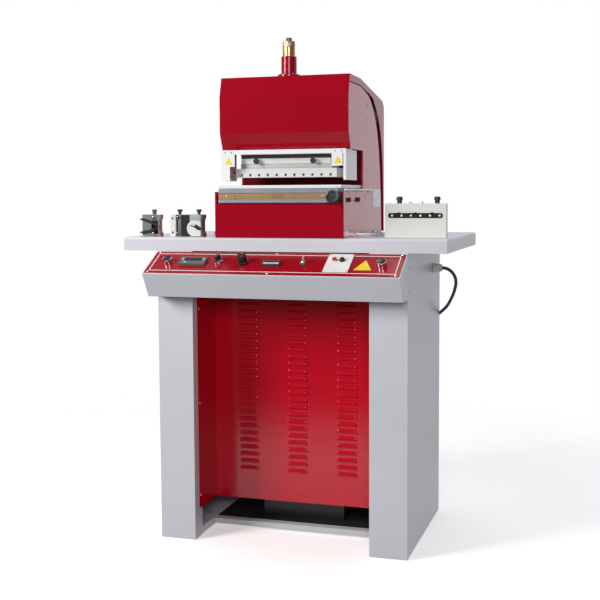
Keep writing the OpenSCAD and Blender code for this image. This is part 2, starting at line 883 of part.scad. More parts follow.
route = [
  [403, 388, 795], [411.5, 388.1, 794.1], [420.4, 388.4, 790.9], [429.2, 389.4, 784.9],
  [436.4, 391.4, 776.2], [441.2, 394.8, 766.2], [442.8, 399.4, 755], [442, 405.6, 743.4],
  [438, 414.4, 730], [430.6, 428, 711], [419, 446, 690], [403, 470, 667], [380, 500, 646],
  [356, 528, 625], [338, 548, 592], [326, 562, 537], [317, 574, 462], [310, 584, 375],
  [304, 594, 285], [298, 603, 200], [290, 614, 130], [278, 628, 75], [258, 649, 36],
  [232, 673, 15], [200, 693, 7], [165, 706, 5], [128, 711, 5], [88, 712, 5], [44, 712, 5]
];

function lerp3(a, b, c, d, t) =
  0.5 * ((2 * b) + (c - a) * t + (2 * a - 5 * b + 4 * c - d) * t * t
         + (3 * b - a - 3 * c + d) * t * t * t);
function route_point(i) = route[max(0, min(len(route) - 1, i))];
function path_point(u) =
  let(i = min(floor(u), len(route) - 2), t = u - i)
  lerp3(route_point(i - 1), route_point(i), route_point(i + 1), route_point(i + 2), t);
function unit(v) = v / norm(v);
steps_per_leg = 2;
ring_total = (len(route) - 1) * steps_per_leg + 1;
function ring_u(k) = k / steps_per_leg;
function tangent(k) =
  unit(path_point(min(len(route) - 1, ring_u(k) + 0.02)) - path_point(max(0, ring_u(k) - 0.02)));
function side_way(k) = unit(cross(tangent(k), [0, -0.94, 0.34]));
function up_way(k) = cross(side_way(k), tangent(k));

module mains_cable() {
  r = cable_dia / 2;
  n = cable_sides;
  points = [
    for (k = [0 : ring_total - 1])
      for (j = [0 : n - 1])
        path_point(ring_u(k)) + r * cos(360 * j / n) * side_way(k)
          + r * sin(360 * j / n) * up_way(k)
  ];
  walls = [
    for (k = [0 : ring_total - 2])
      for (j = [0 : n - 1])
        [k * n + j, k * n + (j + 1) % n, (k + 1) * n + (j + 1) % n, (k + 1) * n + j]
  ];
  start_cap = [[for (j = [n - 1 : -1 : 0]) j]];
  end_cap = [[for (j = [0 : n - 1]) (ring_total - 1) * n + j]];
  color([0.06, 0.06, 0.06]) place()
    polyhedron(points = points, faces = concat(walls, start_cap, end_cap), convexity = 6);
}

coil_at = [44, 650, 0];
plug_at = [-16, 708, 19];

module mains_coil() {
  // the wound turns, and the tail that runs down from them to the plug
  color([0.06, 0.06, 0.06]) place() {
    translate(coil_at)
      rotate_extrude()
        translate([57, 0]) polygon([[-8, 1], [-5, 0], [5, 0], [8, 1], [11, 5], [11, 19],
                                    [6, 29], [-6, 29], [-11, 19], [-11, 5]]);
    translate(plug_at) rotate([0, 81, 0]) cylinder(r = cable_dia / 2, h = 38);
  }
}

module mains_plug() {
  // lies on the floor beside the coil
  color([0.08, 0.08, 0.08]) place() translate(plug_at) rotate([0, -90, 0]) {
    cylinder(r1 = 6, r2 = 10, h = 30);
    translate([0, 0, 30]) cylinder(r1 = 15, r2 = 18.5, h = 12);
    translate([0, 0, 42]) cylinder(r = 18.5, h = 26);
    for (x = [-9.5, 9.5]) translate([0, x, 68]) cylinder(r = 2.4, h = 19);
  }
}

// ---------- one line for each node ----------

left_side();
right_side();
recess_panel();
base_pan();
rear_cover();
table_top();
control_box();
panel_plate();
instruments();
switch_plate();
control_bezels();
screws();
power_pack();
pressure_hose();
cable_gland();
left_head_plate();
right_head_plate();
hood();
head_rear_cover();
base_cover();
clamp_bar();
throat_panel();
bridge_plate();
ram_cylinder();
sleeve_tube();
guard();
anvil_block();
side_guide();
ram_rod();
ram_plate();
insulation_plate();
heater_block();
type_plate();
brass_sleeve();
heater_lead();
stroke_nut();
clamp_knob_left();
clamp_knob_right();
bed_slide();
bed_plate();
brass_rule();
bed_knob();
start_button_left();
start_button_right();
selector_lever();
dial_knob();
toggle_lever();
stop_button();
run_button();
chase_holder();
chase_knob_left();
chase_knob_right();
jaw_holder();
jaw_knob();
round_holder();
round_knob_left();
round_knob_right();
mains_cable();
mains_coil();
mains_plug();
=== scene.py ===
import json
import math

import bmesh
import bpy
from mathutils import Matrix, Vector


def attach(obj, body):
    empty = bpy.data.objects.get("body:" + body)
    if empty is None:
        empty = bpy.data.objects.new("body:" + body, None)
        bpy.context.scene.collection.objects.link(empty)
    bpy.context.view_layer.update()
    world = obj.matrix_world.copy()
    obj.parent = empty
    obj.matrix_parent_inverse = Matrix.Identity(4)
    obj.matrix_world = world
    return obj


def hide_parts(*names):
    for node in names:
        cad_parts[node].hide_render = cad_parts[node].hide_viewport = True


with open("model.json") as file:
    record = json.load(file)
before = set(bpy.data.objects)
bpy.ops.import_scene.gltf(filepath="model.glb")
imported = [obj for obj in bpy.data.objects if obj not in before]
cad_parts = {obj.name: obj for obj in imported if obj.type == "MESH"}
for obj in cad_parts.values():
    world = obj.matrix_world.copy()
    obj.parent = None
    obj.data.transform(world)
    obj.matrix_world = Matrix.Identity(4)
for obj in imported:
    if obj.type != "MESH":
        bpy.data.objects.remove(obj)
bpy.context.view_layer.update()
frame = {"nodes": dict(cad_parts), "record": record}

# Lengths below are in millimetres and measured from the columns' front
# plane; MM and MIDDLE bring them into the frame.
MM = Matrix.Scale(0.001, 4)
MIDDLE = 220
PANEL_TOP = 858
PANEL_A = math.atan2(58, 105)
PANEL_LEN = math.hypot(58, 105)
RAM_Y = 110

record = frame["record"]
BODY = {node: body for body, nodes in record["behaviour"]["bodies"].items() for node in nodes}
SLOT = {part["node"]: part["material_slot"] for part in record["subparts"]}


def at(x, y, z):
    return Vector((x, y - MIDDLE, z)) * 0.001


def move(x=0, y=0, z=0, degrees=0, axis="Z"):
    spin = Matrix.Rotation(math.radians(degrees), 4, axis)
    return Matrix.Translation(at(x, y, z)) @ spin @ MM


def facing(x, y, z):
    """Local z points to the operator, local y up."""
    return move(x, y, z, 90, "X")


def to_right(x, y, z):
    """Local z points to +X."""
    return move(x, y, z, 90, "Y")


def to_rear(x, y, z):
    return move(x, y, z, -90, "X")


def on_panel(x, s, h=0.0):
    """Sloping panel frame: x across, y up the slope, z out of the panel."""
    y = -s * math.cos(PANEL_A)
    z = PANEL_TOP - s * math.sin(PANEL_A)
    tilt = Matrix.Rotation(PANEL_A, 4, "X")
    return Matrix.Translation(at(x, y, z)) @ tilt @ MM @ Matrix.Translation((0, 0, 2 + h))


# ---------------------------------------------------------------- camera

def make_camera():
    data = bpy.data.cameras.new("camera")
    data.sensor_width = 36.0
    data.lens = 62.53
    data.shift_x = -0.0200
    data.shift_y = -0.0410
    data.clip_end = 60
    cam = bpy.data.objects.new("camera", data)
    yaw, pitch, roll = (math.radians(a) for a in (-16.89, -4.40, -0.26))
    ahead = Vector((math.sin(yaw) * math.cos(pitch), math.cos(yaw) * math.cos(pitch),
                    math.sin(pitch)))
    right = Vector((math.cos(yaw), -math.sin(yaw), 0))
    up = right.cross(ahead)
    across = math.cos(roll) * right + math.sin(roll) * up
    over = -math.sin(roll) * right + math.cos(roll) * up
    m = Matrix((across, over, -ahead)).transposed().to_4x4()
    m.translation = at(949.5, -2797.4, 1020.2)
    cam.matrix_world = m
    bpy.context.scene.collection.objects.link(cam)
    bpy.context.scene.camera = cam


make_camera()


# ---------------------------------------------------------------- materials

def new_material(name):
    mat = bpy.data.materials.new(name)
    mat.use_nodes = True
    tree = mat.node_tree
    shader = tree.nodes["Principled BSDF"]
    return mat, tree, shader


def noise_node(tree, scale, detail=3.0, rough=0.5, stretch=(1, 1, 1)):
    coords = tree.nodes.new("ShaderNodeTexCoord")
    mapping = tree.nodes.new("ShaderNodeMapping")
    mapping.inputs["Scale"].default_value = stretch
    noise = tree.nodes.new("ShaderNodeTexNoise")
    noise.inputs["Scale"].default_value = scale
    noise.inputs["Detail"].default_value = detail
    noise.inputs["Roughness"].default_value = rough
    tree.links.new(coords.outputs["Object"], mapping.inputs["Vector"])
    tree.links.new(mapping.outputs["Vector"], noise.inputs["Vector"])
    return noise


def ramp_node(tree, source, stops):
    ramp = tree.nodes.new("ShaderNodeValToRGB")
    tree.links.new(source, ramp.inputs["Fac"])
    elements = ramp.color_ramp.elements
    while len(elements) < len(stops):
        elements.new(0.5)
    for element, (place, colour) in zip(elements, stops):
        element.position = place
        element.color = (*colour, 1)
    return ramp


def bump_node(tree, shader, height, strength, distance):
    bump = tree.nodes.new("ShaderNodeBump")
    bump.inputs["Strength"].default_value = strength
    bump.inputs["Distance"].default_value = distance
    tree.links.new(height, bump.inputs["Height"])
    tree.links.new(bump.outputs["Normal"], shader.inputs["Normal"])
    return bump


def shade(colour, k):
    return tuple(max(0.0, min(1.0, c * k)) for c in colour)


def finish_surface(tree, shader, colour, spread, blotch, grain, rough, rough_spread,
                   bump_strength, bump_distance, stretch=(1, 1, 1)):
    """Colour variation from a broad noise, roughness and bump from a fine one."""
    broad = noise_node(tree, blotch, 4.0)
    ramp = ramp_node(tree, broad.outputs["Fac"],
                     [(0.3, shade(colour, 1 - spread)), (0.7, shade(colour, 1 + spread))])
    tree.links.new(ramp.outputs["Color"], shader.inputs["Base Color"])
    fine = noise_node(tree, grain, 3.0, 0.55, stretch)
    span = tree.nodes.new("ShaderNodeMapRange")
    span.inputs["From Min"].default_value = 0.25
    span.inputs["From Max"].default_value = 0.75
    span.inputs["To Min"].default_value = max(0.02, rough - rough_spread)
    span.inputs["To Max"].default_value = rough + rough_spread
    tree.links.new(fine.outputs["Fac"], span.inputs["Value"])
    tree.links.new(span.outputs["Result"], shader.inputs["Roughness"])
    bump_node(tree, shader, fine.outputs["Fac"], bump_strength, bump_distance)


def paint(name, colour, rough=0.32, coat=0.0, ior=1.5, peel=0.12):
    mat, tree, shader = new_material(name)
    finish_surface(tree, shader, colour, 0.035, 3.0, 420.0, rough, 0.04, peel, 0.0003)
    shader.inputs["IOR"].default_value = ior
    shader.inputs["Coat Weight"].default_value = coat
    shader.inputs["Coat Roughness"].default_value = 0.12
    return mat


def metal(name, colour, rough=0.28, stretch=(1, 1, 1), grain=500.0, strength=0.10, spread=0.05):
    mat, tree, shader = new_material(name)
    finish_surface(tree, shader, colour, spread, 9.0, grain, rough, 0.08, strength, 0.0002, stretch)
    shader.inputs["Metallic"].default_value = 1.0
    return mat


def plastic(name, colour, rough=0.4, grain=1500.0, strength=0.15, spread=0.08):
    mat, tree, shader = new_material(name)
    finish_surface(tree, shader, colour, spread, 40.0, grain, rough, 0.06, strength, 0.00015)
    return mat


def paper(name):
    """Pale floor paper that fades out away from the middle."""
    mat, tree, shader = new_material(name)
    finish_surface(tree, shader, (0.9, 0.9, 0.9), 0.01, 2.0, 300.0, 0.9, 0.03, 0.05, 0.0003)
    shader.inputs["Emission Color"].default_value = (1, 1, 1, 1)
    shader.inputs["Emission Strength"].default_value = 0.35
    coords = tree.nodes.new("ShaderNodeTexCoord")
    reach = tree.nodes.new("ShaderNodeVectorMath")
    reach.operation = "LENGTH"
    tree.links.new(coords.outputs["Object"], reach.inputs[0])
    span = tree.nodes.new("ShaderNodeMapRange")
    span.interpolation_type = "SMOOTHSTEP"
    for key, value in (("From Min", 0.75), ("From Max", 2.1), ("To Min", 1.0), ("To Max", 0.0)):
        span.inputs[key].default_value = value
    tree.links.new(reach.outputs["Value"], span.inputs["Value"])
    tree.links.new(span.outputs["Result"], shader.inputs["Alpha"])
    return mat


def woven(name, light, dark, scale):
    mat, tree, shader = new_material(name)
    coords = tree.nodes.new("ShaderNodeTexCoord")
    wave = tree.nodes.new("ShaderNodeTexWave")
    wave.wave_type = "BANDS"
    wave.bands_direction = "DIAGONAL"
    wave.inputs["Scale"].default_value = scale
    wave.inputs["Distortion"].default_value = 2.0
    tree.links.new(coords.outputs["Object"], wave.inputs["Vector"])
    ramp = ramp_node(tree, wave.outputs["Fac"], [(0.35, dark), (0.65, light)])
    tree.links.new(ramp.outputs["Color"], shader.inputs["Base Color"])
    shader.inputs["Roughness"].default_value = 0.85
    bump_node(tree, shader, wave.outputs["Fac"], 0.5, 0.0003)
    return mat


RED = paint("gloss_red_paint", (0.32, 0.002, 0.012), 0.15, 0.0, 1.34)
# The recess red is a brighter copy of the red paint: painted light that offsets the shade under the table
# top.
RED_RECESS_LIT = paint("red_paint_lit_for_recess", (0.50, 0.002, 0.014), 0.14, 0.0, 1.5)
RED_PANEL = paint("panel_red_enamel", (0.31, 0.002, 0.010), 0.2, 0.0, 1.34)
# The head plates' red is a brighter copy of the red paint: painted light on the side plates.
RED_SIDE_LIT = paint("gloss_red_paint_lit_for_sides", (0.40, 0.002, 0.013), 0.25, 0.2, 1.6)
# The throat red is a darkened copy of the red paint: painted shade in the gap between bed and type plate.
RED_THROAT_SHADE = paint("satin_red_paint_painted_shade", (0.10, 0.001, 0.004), 0.6, 0.0, 1.15)
GREY = paint("light_grey_paint", (0.58, 0.59, 0.63), 0.36)
PAN = paint("pan_grey_paint", (0.58, 0.58, 0.59), 0.42)
WHITE = paint("white_paint", (0.78, 0.775, 0.775), 0.35)
DARK_ENAMEL = paint("dark_enamel", (0.014, 0.015, 0.017), 0.5)
STEEL = metal("brushed_steel", (0.52, 0.53, 0.55), 0.32, (0.15, 1, 1))
ROD = metal("ground_steel_rod", (0.70, 0.71, 0.73), 0.12, (1, 1, 0.1), 900.0, 0.04)
CHROME = metal("polished_chrome", (0.80, 0.80, 0.82), 0.08, grain=900.0, strength=0.03, spread=0.02)
CAST = metal("machined_iron", (0.20, 0.21, 0.22), 0.42, grain=260.0, strength=0.25, spread=0.12)
BRASS = metal("satin_brass", (0.40, 0.24, 0.11), 0.4, (0.12, 1, 1), 700.0, 0.08)
BRASS_ROUND = metal("turned_brass", (0.44, 0.29, 0.155), 0.32, (1, 1, 4), 500.0, 0.08)
IVORY = metal("blasted_alloy", (0.64, 0.635, 0.59), 0.48, grain=1400.0, strength=0.2)
IVORY.node_tree.nodes["Principled BSDF"].inputs["Metallic"].default_value = 0.35
ALLOY = metal("satin_alloy", (0.40, 0.44, 0.49), 0.34, (0.15, 1, 1), 800.0, 0.08)
ALLOY_DARK = metal("dark_alloy", (0.17, 0.175, 0.17), 0.42, grain=1200.0, strength=0.15)
BLACK = plastic("matt_black_plastic", (0.022, 0.022, 0.024), 0.42)
GLOSS_BLACK = plastic("gloss_black_plastic", (0.012, 0.012, 0.014), 0.14, 900.0, 0.05)
GLOSS_RED = plastic("gloss_red_plastic", (0.55, 0.012, 0.012), 0.2, 900.0, 0.05)
CASE = plastic("instrument_case", (0.055, 0.055, 0.06), 0.4)
GREY_CASE = plastic("grey_instrument_frame", (0.11, 0.125, 0.125), 0.4)
WHITE_PLASTIC = plastic("white_plastic", (0.76, 0.75, 0.75), 0.35)
GREY_PLASTIC = plastic("light_grey_plastic", (0.60, 0.60, 0.57), 0.38)
GLAND_PLASTIC = plastic("pale_gland_plastic", (0.76, 0.76, 0.74), 0.38)
DISPLAY = plastic("display_filter", (0.006, 0.004, 0.004), 0.06, 600.0, 0.02)
SEGMENT = plastic("unlit_segment", (0.10, 0.015, 0.012), 0.3)
INSULATION = plastic("insulation_laminate", (0.02, 0.02, 0.022), 0.6, 500.0, 0.3)
RUBBER = plastic("cable_rubber", (0.018, 0.018, 0.02), 0.5, 900.0, 0.25)
INK_WHITE = plastic("white_print", (0.78, 0.78, 0.78), 0.5)
INK_BLACK = plastic("black_print", (0.02, 0.02, 0.02), 0.5)
YELLOW = plastic("yellow_print", (0.84, 0.61, 0.01), 0.4)
TEAL = plastic("teal_ring", (0.02, 0.22, 0.20), 0.35)
JET = plastic("jet_black_enamel", (0.006, 0.006, 0.006), 0.35)
# Near-black used as painted shade in holes, slots, recesses and dark interiors.
PAINTED_SHADE = plastic("hole_shadow", (0.004, 0.004, 0.004), 0.8)
LABEL = plastic("plain_plate", (0.70, 0.73, 0.78), 0.35, 700.0, 0.08)
for mat, part in ((BRASS, 0.7), (BRASS_ROUND, 0.8), (ALLOY, 0.75)):
    mat.node_tree.nodes["Principled BSDF"].inputs["Metallic"].default_value = part
LIGHT_ALLOY = metal("bright_alloy", (0.64, 0.63, 0.61), 0.42, (0.15, 1, 1), 900.0, 0.06, 0.03)
LIGHT_ALLOY.node_tree.nodes["Principled BSDF"].inputs["Metallic"].default_value = 0.3
# A darker copy of the bright alloy: painted shade on the type plate's upper band.
ALLOY_SHADED_BAND = metal("shaded_alloy", (0.55, 0.54, 0.54), 0.4, (0.15, 1, 1), 900.0, 0.06)
PALE_GREY = metal("grey_green_alloy", (0.36, 0.40, 0.37), 0.42, grain=900.0, strength=0.08)
PALE_ALLOY = metal("pale_alloy", (0.72, 0.66, 0.63), 0.38, grain=900.0, strength=0.08)
PINK_ALLOY = metal("bronze_anodised", (0.30, 0.21, 0.21), 0.36, grain=900.0, strength=0.08)
MAROON = paint("maroon_enamel", (0.05, 0.022, 0.024), 0.35)
GREY_KNOB = plastic("grey_knob_plastic", (0.10, 0.105, 0.105), 0.4)
BLACK_SATIN = plastic("satin_black_plastic", (0.03, 0.033, 0.036), 0.3)
FLOOR = paper("studio_paper")
LEAD_BROWN = woven("brown_lead_sleeve", (0.55, 0.20, 0.05), (0.28, 0.08, 0.02), 900.0)
LEAD_BLACK = woven("black_white_sleeve", (0.65, 0.65, 0.62), (0.02, 0.02, 0.02), 500.0)


# ---------------------------------------------------------------- mesh helpers

def smooth_path(points, steps):
    """Catmull-Rom curve through the points."""
    pts = [Vector(p) for p in points]
    out = []
    for i in range(len(pts) - 1):
        a = pts[max(i - 1, 0)]
        b = pts[i]
        c = pts[i + 1]
        d = pts[min(i + 2, len(pts) - 1)]
        for k in range(steps):
            t = k / steps
            out.append(0.5 * ((2 * b) + (c - a) * t + (2 * a - 5 * b + 4 * c - d) * t * t
                              + (3 * b - a - 3 * c + d) * t ** 3))
    out.append(pts[-1])
    return out


def sweep_bm(points, radius, sides=12):
    """A closed round tube along the points."""
    bm = bmesh.new()
    rings = []
    n = len(points)
    side = None
    for i, p in enumerate(points):
        ahead = (points[min(i + 1, n - 1)] - points[max(i - 1, 0)]).normalized()
        if side is None:
            guide = Vector((0, 0, 1)) if abs(ahead.z) < 0.9 else Vector((1, 0, 0))
            side = ahead.cross(guide).normalized()
        side = (side - ahead * side.dot(ahead)).normalized()
        up = side.cross(ahead)
        rings.append([bm.verts.new(p + radius * (math.cos(2 * math.pi * j / sides) * side
                                                 + math.sin(2 * math.pi * j / sides) * up))
                      for j in range(sides)])
    for a, b in zip(rings, rings[1:]):
        for j in range(sides):
            k = (j + 1) % sides
            bm.faces.new((a[j], a[k], b[k], b[j]))
    bm.faces.new(list(reversed(rings[0])))
    bm.faces.new(rings[-1])
    bmesh.ops.recalc_face_normals(bm, faces=bm.faces)
    return bm


HERE = move()


class Piece:
    """One mesh object built from several parts, each with its own material."""

    def __init__(self, name):
        self.name = name
        self.bm = bmesh.new()
        self.mats = []

    def take(self, tmp, matrix, mat):
        if mat not in self.mats:
            self.mats.append(mat)
        index = self.mats.index(mat)
        tmp.transform(matrix)
        if matrix.to_3x3().determinant() < 0:
            bmesh.ops.reverse_faces(tmp, faces=tmp.faces)
        mesh = bpy.data.meshes.new("part")
        tmp.to_mesh(mesh)
        tmp.free()
        first = len(self.bm.faces)
        self.bm.from_mesh(mesh)
        bpy.data.meshes.remove(mesh)
        self.bm.faces.ensure_lookup_table()
        for face in self.bm.faces[first:]:
            face.material_index = index
            face.smooth = True

    def lathe(self, profile, matrix, mat, segs=48, wobble=None):
        """Turn (r, z) points about local z. wobble(angle, r, z) gives the radius."""
        tmp = bmesh.new()
        rings = []
        for r, z in profile:
            if r < 1e-7:
                rings.append([tmp.verts.new((0, 0, z))])
                continue
            ring = []
            for j in range(segs):
                a = 2 * math.pi * j / segs
                q = wobble(a, r, z) if wobble else r
                ring.append(tmp.verts.new((q * math.cos(a), q * math.sin(a), z)))
            rings.append(ring)
        for a, b in zip(rings, rings[1:]):
            for j in range(segs):
                k = (j + 1) % segs
                quad = [a[j % len(a)], a[k % len(a)], b[k % len(b)], b[j % len(b)]]
                unique = []
                for v in quad:
                    if v not in unique:
                        unique.append(v)
                if len(unique) > 2:
                    tmp.faces.new(unique)
        for ring, flip in ((rings[0], True), (rings[-1], False)):
            if len(ring) > 1:
                tmp.faces.new(list(reversed(ring)) if flip else ring)
        bmesh.ops.recalc_face_normals(tmp, faces=tmp.faces)
        self.take(tmp, matrix, mat)

    def box(self, low, high, mat, matrix=None, bevel=0.5, segs=2):
        low, high = Vector(low), Vector(high)
        tmp = bmesh.new()
        bmesh.ops.create_cube(tmp, size=1)
        for v in tmp.verts:
            v.co = Vector((low[i] + (v.co[i] + 0.5) * (high[i] - low[i]) for i in range(3)))
        if bevel:
            width = min(bevel, 0.45 * min(high - low))
            bmesh.ops.bevel(tmp, geom=tmp.edges[:], offset=width, segments=segs, profile=0.5,
                            affect="EDGES", clamp_overlap=True)
        self.take(tmp, matrix or HERE, mat)

    def prism(self, outline, z0, z1, matrix, mat, bevel=0.5, segs=2):
        tmp = bmesh.new()
        ring = [tmp.verts.new((x, y, z0)) for x, y in outline]
        base = tmp.faces.new(ring)
        top = bmesh.ops.extrude_face_region(tmp, geom=[base])
        for v in top["geom"]:
            if isinstance(v, bmesh.types.BMVert):
                v.co.z = z1
        bmesh.ops.recalc_face_normals(tmp, faces=tmp.faces)
        if bevel:
            sharp = [e for e in tmp.edges if len(e.link_faces) == 2
                     and e.calc_face_angle(0) > math.radians(28)]
            bmesh.ops.bevel(tmp, geom=sharp, offset=bevel, segments=segs, profile=0.5,
                            affect="EDGES", clamp_overlap=True)
        self.take(tmp, matrix, mat)

    def plate(self, loops, z0, z1, matrix, mat, bevel=0.4):
        """A flat plate with holes: the first loop is the outline."""
        data = bpy.data.curves.new("plate", "CURVE")
        data.dimensions = "2D"
        data.fill_mode = "BOTH"
        data.bevel_depth = bevel
        data.bevel_resolution = 1
        data.offset = -bevel
        data.extrude = (z1 - z0) / 2 - bevel
        for loop in loops:
            spline = data.splines.new("POLY")
            spline.points.add(len(loop) - 1)
            for p, (x, y) in zip(spline.points, loop):
                p.co = (x, y, 0, 1)
            spline.use_cyclic_u = True
        obj = bpy.data.objects.new("plate", data)
        bpy.context.scene.collection.objects.link(obj)
        bpy.context.view_layer.update()
        mesh = bpy.data.meshes.new_from_object(
            obj.evaluated_get(bpy.context.evaluated_depsgraph_get()))
        bpy.data.objects.remove(obj)
        bpy.data.curves.remove(data)
        tmp = bmesh.new()
        tmp.from_mesh(mesh)
        bpy.data.meshes.remove(mesh)
        bmesh.ops.remove_doubles(tmp, verts=tmp.verts, dist=1e-4)
        bmesh.ops.recalc_face_normals(tmp, faces=tmp.faces)
        self.take(tmp, matrix @ Matrix.Translation((0, 0, (z0 + z1) / 2)), mat)

    def sweep(self, points, radius, mat, sides=12, matrix=None):
        self.take(sweep_bm(points, radius, sides), matrix or HERE, mat)

    def copy_node(self, node, mat, bevel=0.6, segs=2, angle=30):
        """The CAD node's shape with rounded edges."""
        tmp = bmesh.new()
        tmp.from_mesh(frame["nodes"][node].data)
        bmesh.ops.remove_doubles(tmp, verts=tmp.verts, dist=2e-6)
        bmesh.ops.dissolve_limit(tmp, angle_limit=math.radians(0.5), verts=tmp.verts[:],
                                 edges=tmp.edges[:], use_dissolve_boundaries=False)
        sharp = [e for e in tmp.edges if len(e.link_faces) == 2
                 and e.calc_face_angle(0) > math.radians(angle)]
        if bevel and sharp:
            bmesh.ops.bevel(tmp, geom=sharp, offset=bevel * 0.001, segments=segs, profile=0.5,
                            affect="EDGES", clamp_overlap=True)
        self.take(tmp, Matrix.Identity(4), mat)

    def done(self, body, replaces=(), slot=None, sharp=32):
        mesh = bpy.data.meshes.new(self.name)
        self.bm.to_mesh(mesh)
        self.bm.free()
        for mat in self.mats:
            mesh.materials.append(mat)
        mesh.set_sharp_from_angle(angle=math.radians(sharp))
        obj = bpy.data.objects.new(self.name, mesh)
        bpy.context.scene.collection.objects.link(obj)
        even = obj.modifiers.new("even normals", "WEIGHTED_NORMAL")
        even.keep_sharp = True
        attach(obj, body)
        if replaces:
            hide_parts(*replaces)
        return obj


def hexagon(r):
    return [(r * math.cos(math.radians(60 * k)), r * math.sin(math.radians(60 * k)))
            for k in range(6)]


def round_loop(x0, y0, x1, y1, r, n=6):
    """A rectangle with rounded corners, as a closed loop."""
    out = []
    for cx, cy, start in ((x1 - r, y1 - r, 0), (x0 + r, y1 - r, 90),
                          (x0 + r, y0 + r, 180), (x1 - r, y0 + r, 270)):
        for k in range(n + 1):
            a = math.radians(start + 90 * k / n)
            out.append((cx + r * math.cos(a), cy + r * math.sin(a)))
    return out


def circle_loop(x, y, r, n=24):
    return [(x + r * math.cos(2 * math.pi * k / n), y + r * math.sin(2 * math.pi * k / n))
            for k in range(n)]


# ---------------------------------------------------------------- mains cord

CABLE_R = 5
ROUTE = [
    (403, 388, 795), (411.5, 388.1, 794.1), (420.4, 388.4, 790.9), (429.2, 389.4, 784.9),
    (436.4, 391.4, 776.2), (441.2, 394.8, 766.2), (442.8, 399.4, 755), (442, 405.6, 743.4),
    (438, 414.4, 730), (430.6, 428, 711), (419, 446, 690), (403, 470, 667), (380, 500, 646),
    (356, 528, 625), (338, 548, 592), (326, 562, 537), (317, 574, 462), (310, 584, 375),
    (304, 594, 285), (298, 603, 200), (290, 614, 130), (278, 628, 75), (258, 649, 36),
    (232, 673, 15), (200, 693, 7), (165, 706, 5.1), (128, 711, 5.1), (88, 712, 5.1)
]
COIL_X, COIL_Y = 44, 650
TAIL = [(44, 707.5, 24), (32, 708, 24.6), (20, 708, 24.8), (8, 708, 23.2), (-5, 708, 20.3),
        (-17, 708, 19)]
PLUG_AT = (-16, 708, 19)


def coil_points():
    """Two turns on the floor, two on those and one on top, each (radius, height)."""
    turns = [(62, 5.1), (52, 5.1), (52, 15.1), (62, 15.1), (57, 24)]
    per_turn = 16
    out = []
    for t, (r, z) in enumerate(turns):
        r2, z2 = turns[min(t + 1, len(turns) - 1)]
        for k in range(per_turn):
            a = math.radians(90 + 360 * k / per_turn)
            w = max(0.0, (k / per_turn - 0.6) / 0.4)
            w = w * w * (3 - 2 * w)
            q = r + (r2 - r) * w
            out.append((COIL_X + q * math.cos(a), COIL_Y + q * math.sin(a), z + (z2 - z) * w))
    return out


def make_cord():
    path = smooth_path(ROUTE + coil_points() + TAIL, 4)
    piece = Piece("mains_cord")
    piece.sweep(path, CABLE_R, RUBBER, 14)
    cord = piece.done("machine", ("mains_cable", "mains_coil"), "black_rubber", sharp=60)

    plug = Piece("mains_plug_body")
    m = move(*PLUG_AT, -90, "Y")
    ribs = [(6.0, 0), (6.6, 0.6)]
    for k in range(6):
        z = 3 + 4 * k
        r = 6.6 + 0.5 * k
        ribs += [(r, z), (r, z + 2.4), (r - 0.9, z + 2.8), (r - 0.9, z + 3.6), (r + 0.4, z + 4)]
    ribs += [(10.5, 29), (14.2, 31), (16.6, 35), (18.2, 41), (18.5, 44), (18.5, 66),
             (17.8, 67.6), (16.2, 68), (0, 68)]
    plug.lathe([(0, 0)] + ribs, m, BLACK)
    plug.lathe([(16.9, 50), (18.9, 50.4), (18.9, 53), (16.9, 53.4)], m, BLACK)
    plug.lathe([(16.9, 56), (18.9, 56.4), (18.9, 59), (16.9, 59.4)], m, BLACK)
    for y in (-9.5, 9.5):
        pin = [(2.6, 67), (2.6, 74), (2.35, 74.4), (2.35, 85.4), (1.6, 86.8), (0, 87)]
        plug.lathe([(0, 67)] + pin, m @ Matrix.Translation((0, y, 0)), STEEL, 20)
    plug = plug.done("machine", ("mains_plug",), "black_rubber")

    tie = Piece("cord_tie")
    loop = round_loop(-12.2, -0.4, 12.2, 30.5, 9, 5)
    a = math.radians(205)
    ring = [(COIL_X + (57 + u) * math.cos(a), COIL_Y + (57 + u) * math.sin(a), max(z, 1.2))
            for u, z in loop]
    ring.append(ring[0])
    tie.sweep([Vector(p) for p in ring], 1.2, BLACK, 8)
    tie = tie.done("machine", (), "black_plastic")


make_cord()


# ---------------------------------------------------------------- cabinet

def soften(node, mat, bevel=0.6, angle=30, segs=2):
    """The CAD shape with rounded edges, as its own piece."""
    piece = Piece(node + "_shell")
    piece.copy_node(node, mat, bevel, segs, angle)
    return piece.done(BODY[node], (node,), SLOT[node])


def plain_pieces():
    table = [
        ("left_side", GREY, 1.0), ("right_side", GREY, 1.0), ("base_pan", PAN, 0.7),
        ("rear_cover", GREY, 0.5), ("control_box", GREY, 1.0), ("table_top", GREY, 0.8),
        # Power pack: jet black, painted shade of the dark interior behind the recess.
        ("power_pack", JET, 1.5), ("pressure_hose", RUBBER, 0),
        # Head plates: the brighter red copy, painted light on the sides.
        ("left_head_plate", RED_SIDE_LIT, 0.5), ("right_head_plate", RED_SIDE_LIT, 0.5),
        ("head_rear_cover", RED, 0.5), ("base_cover", RED, 0.7), ("clamp_bar", STEEL, 0.8),
        # Throat panel: the darkened red copy, painted shade in the throat gap.
        ("throat_panel", RED_THROAT_SHADE, 0.5), ("bridge_plate", CAST, 1.0),
        ("ram_cylinder", DARK_ENAMEL, 1.5), ("anvil_block", CAST, 1.2),
        ("ram_rod", ROD, 0.8), ("ram_plate", STEEL, 0.8), ("insulation_plate", INSULATION, 0.4),
        ("heater_block", LIGHT_ALLOY, 0.8)
    ]
    for node, mat, bevel in table:
        soften(node, mat, bevel)
    soften("hood", RED, 2.0, 12, 3)


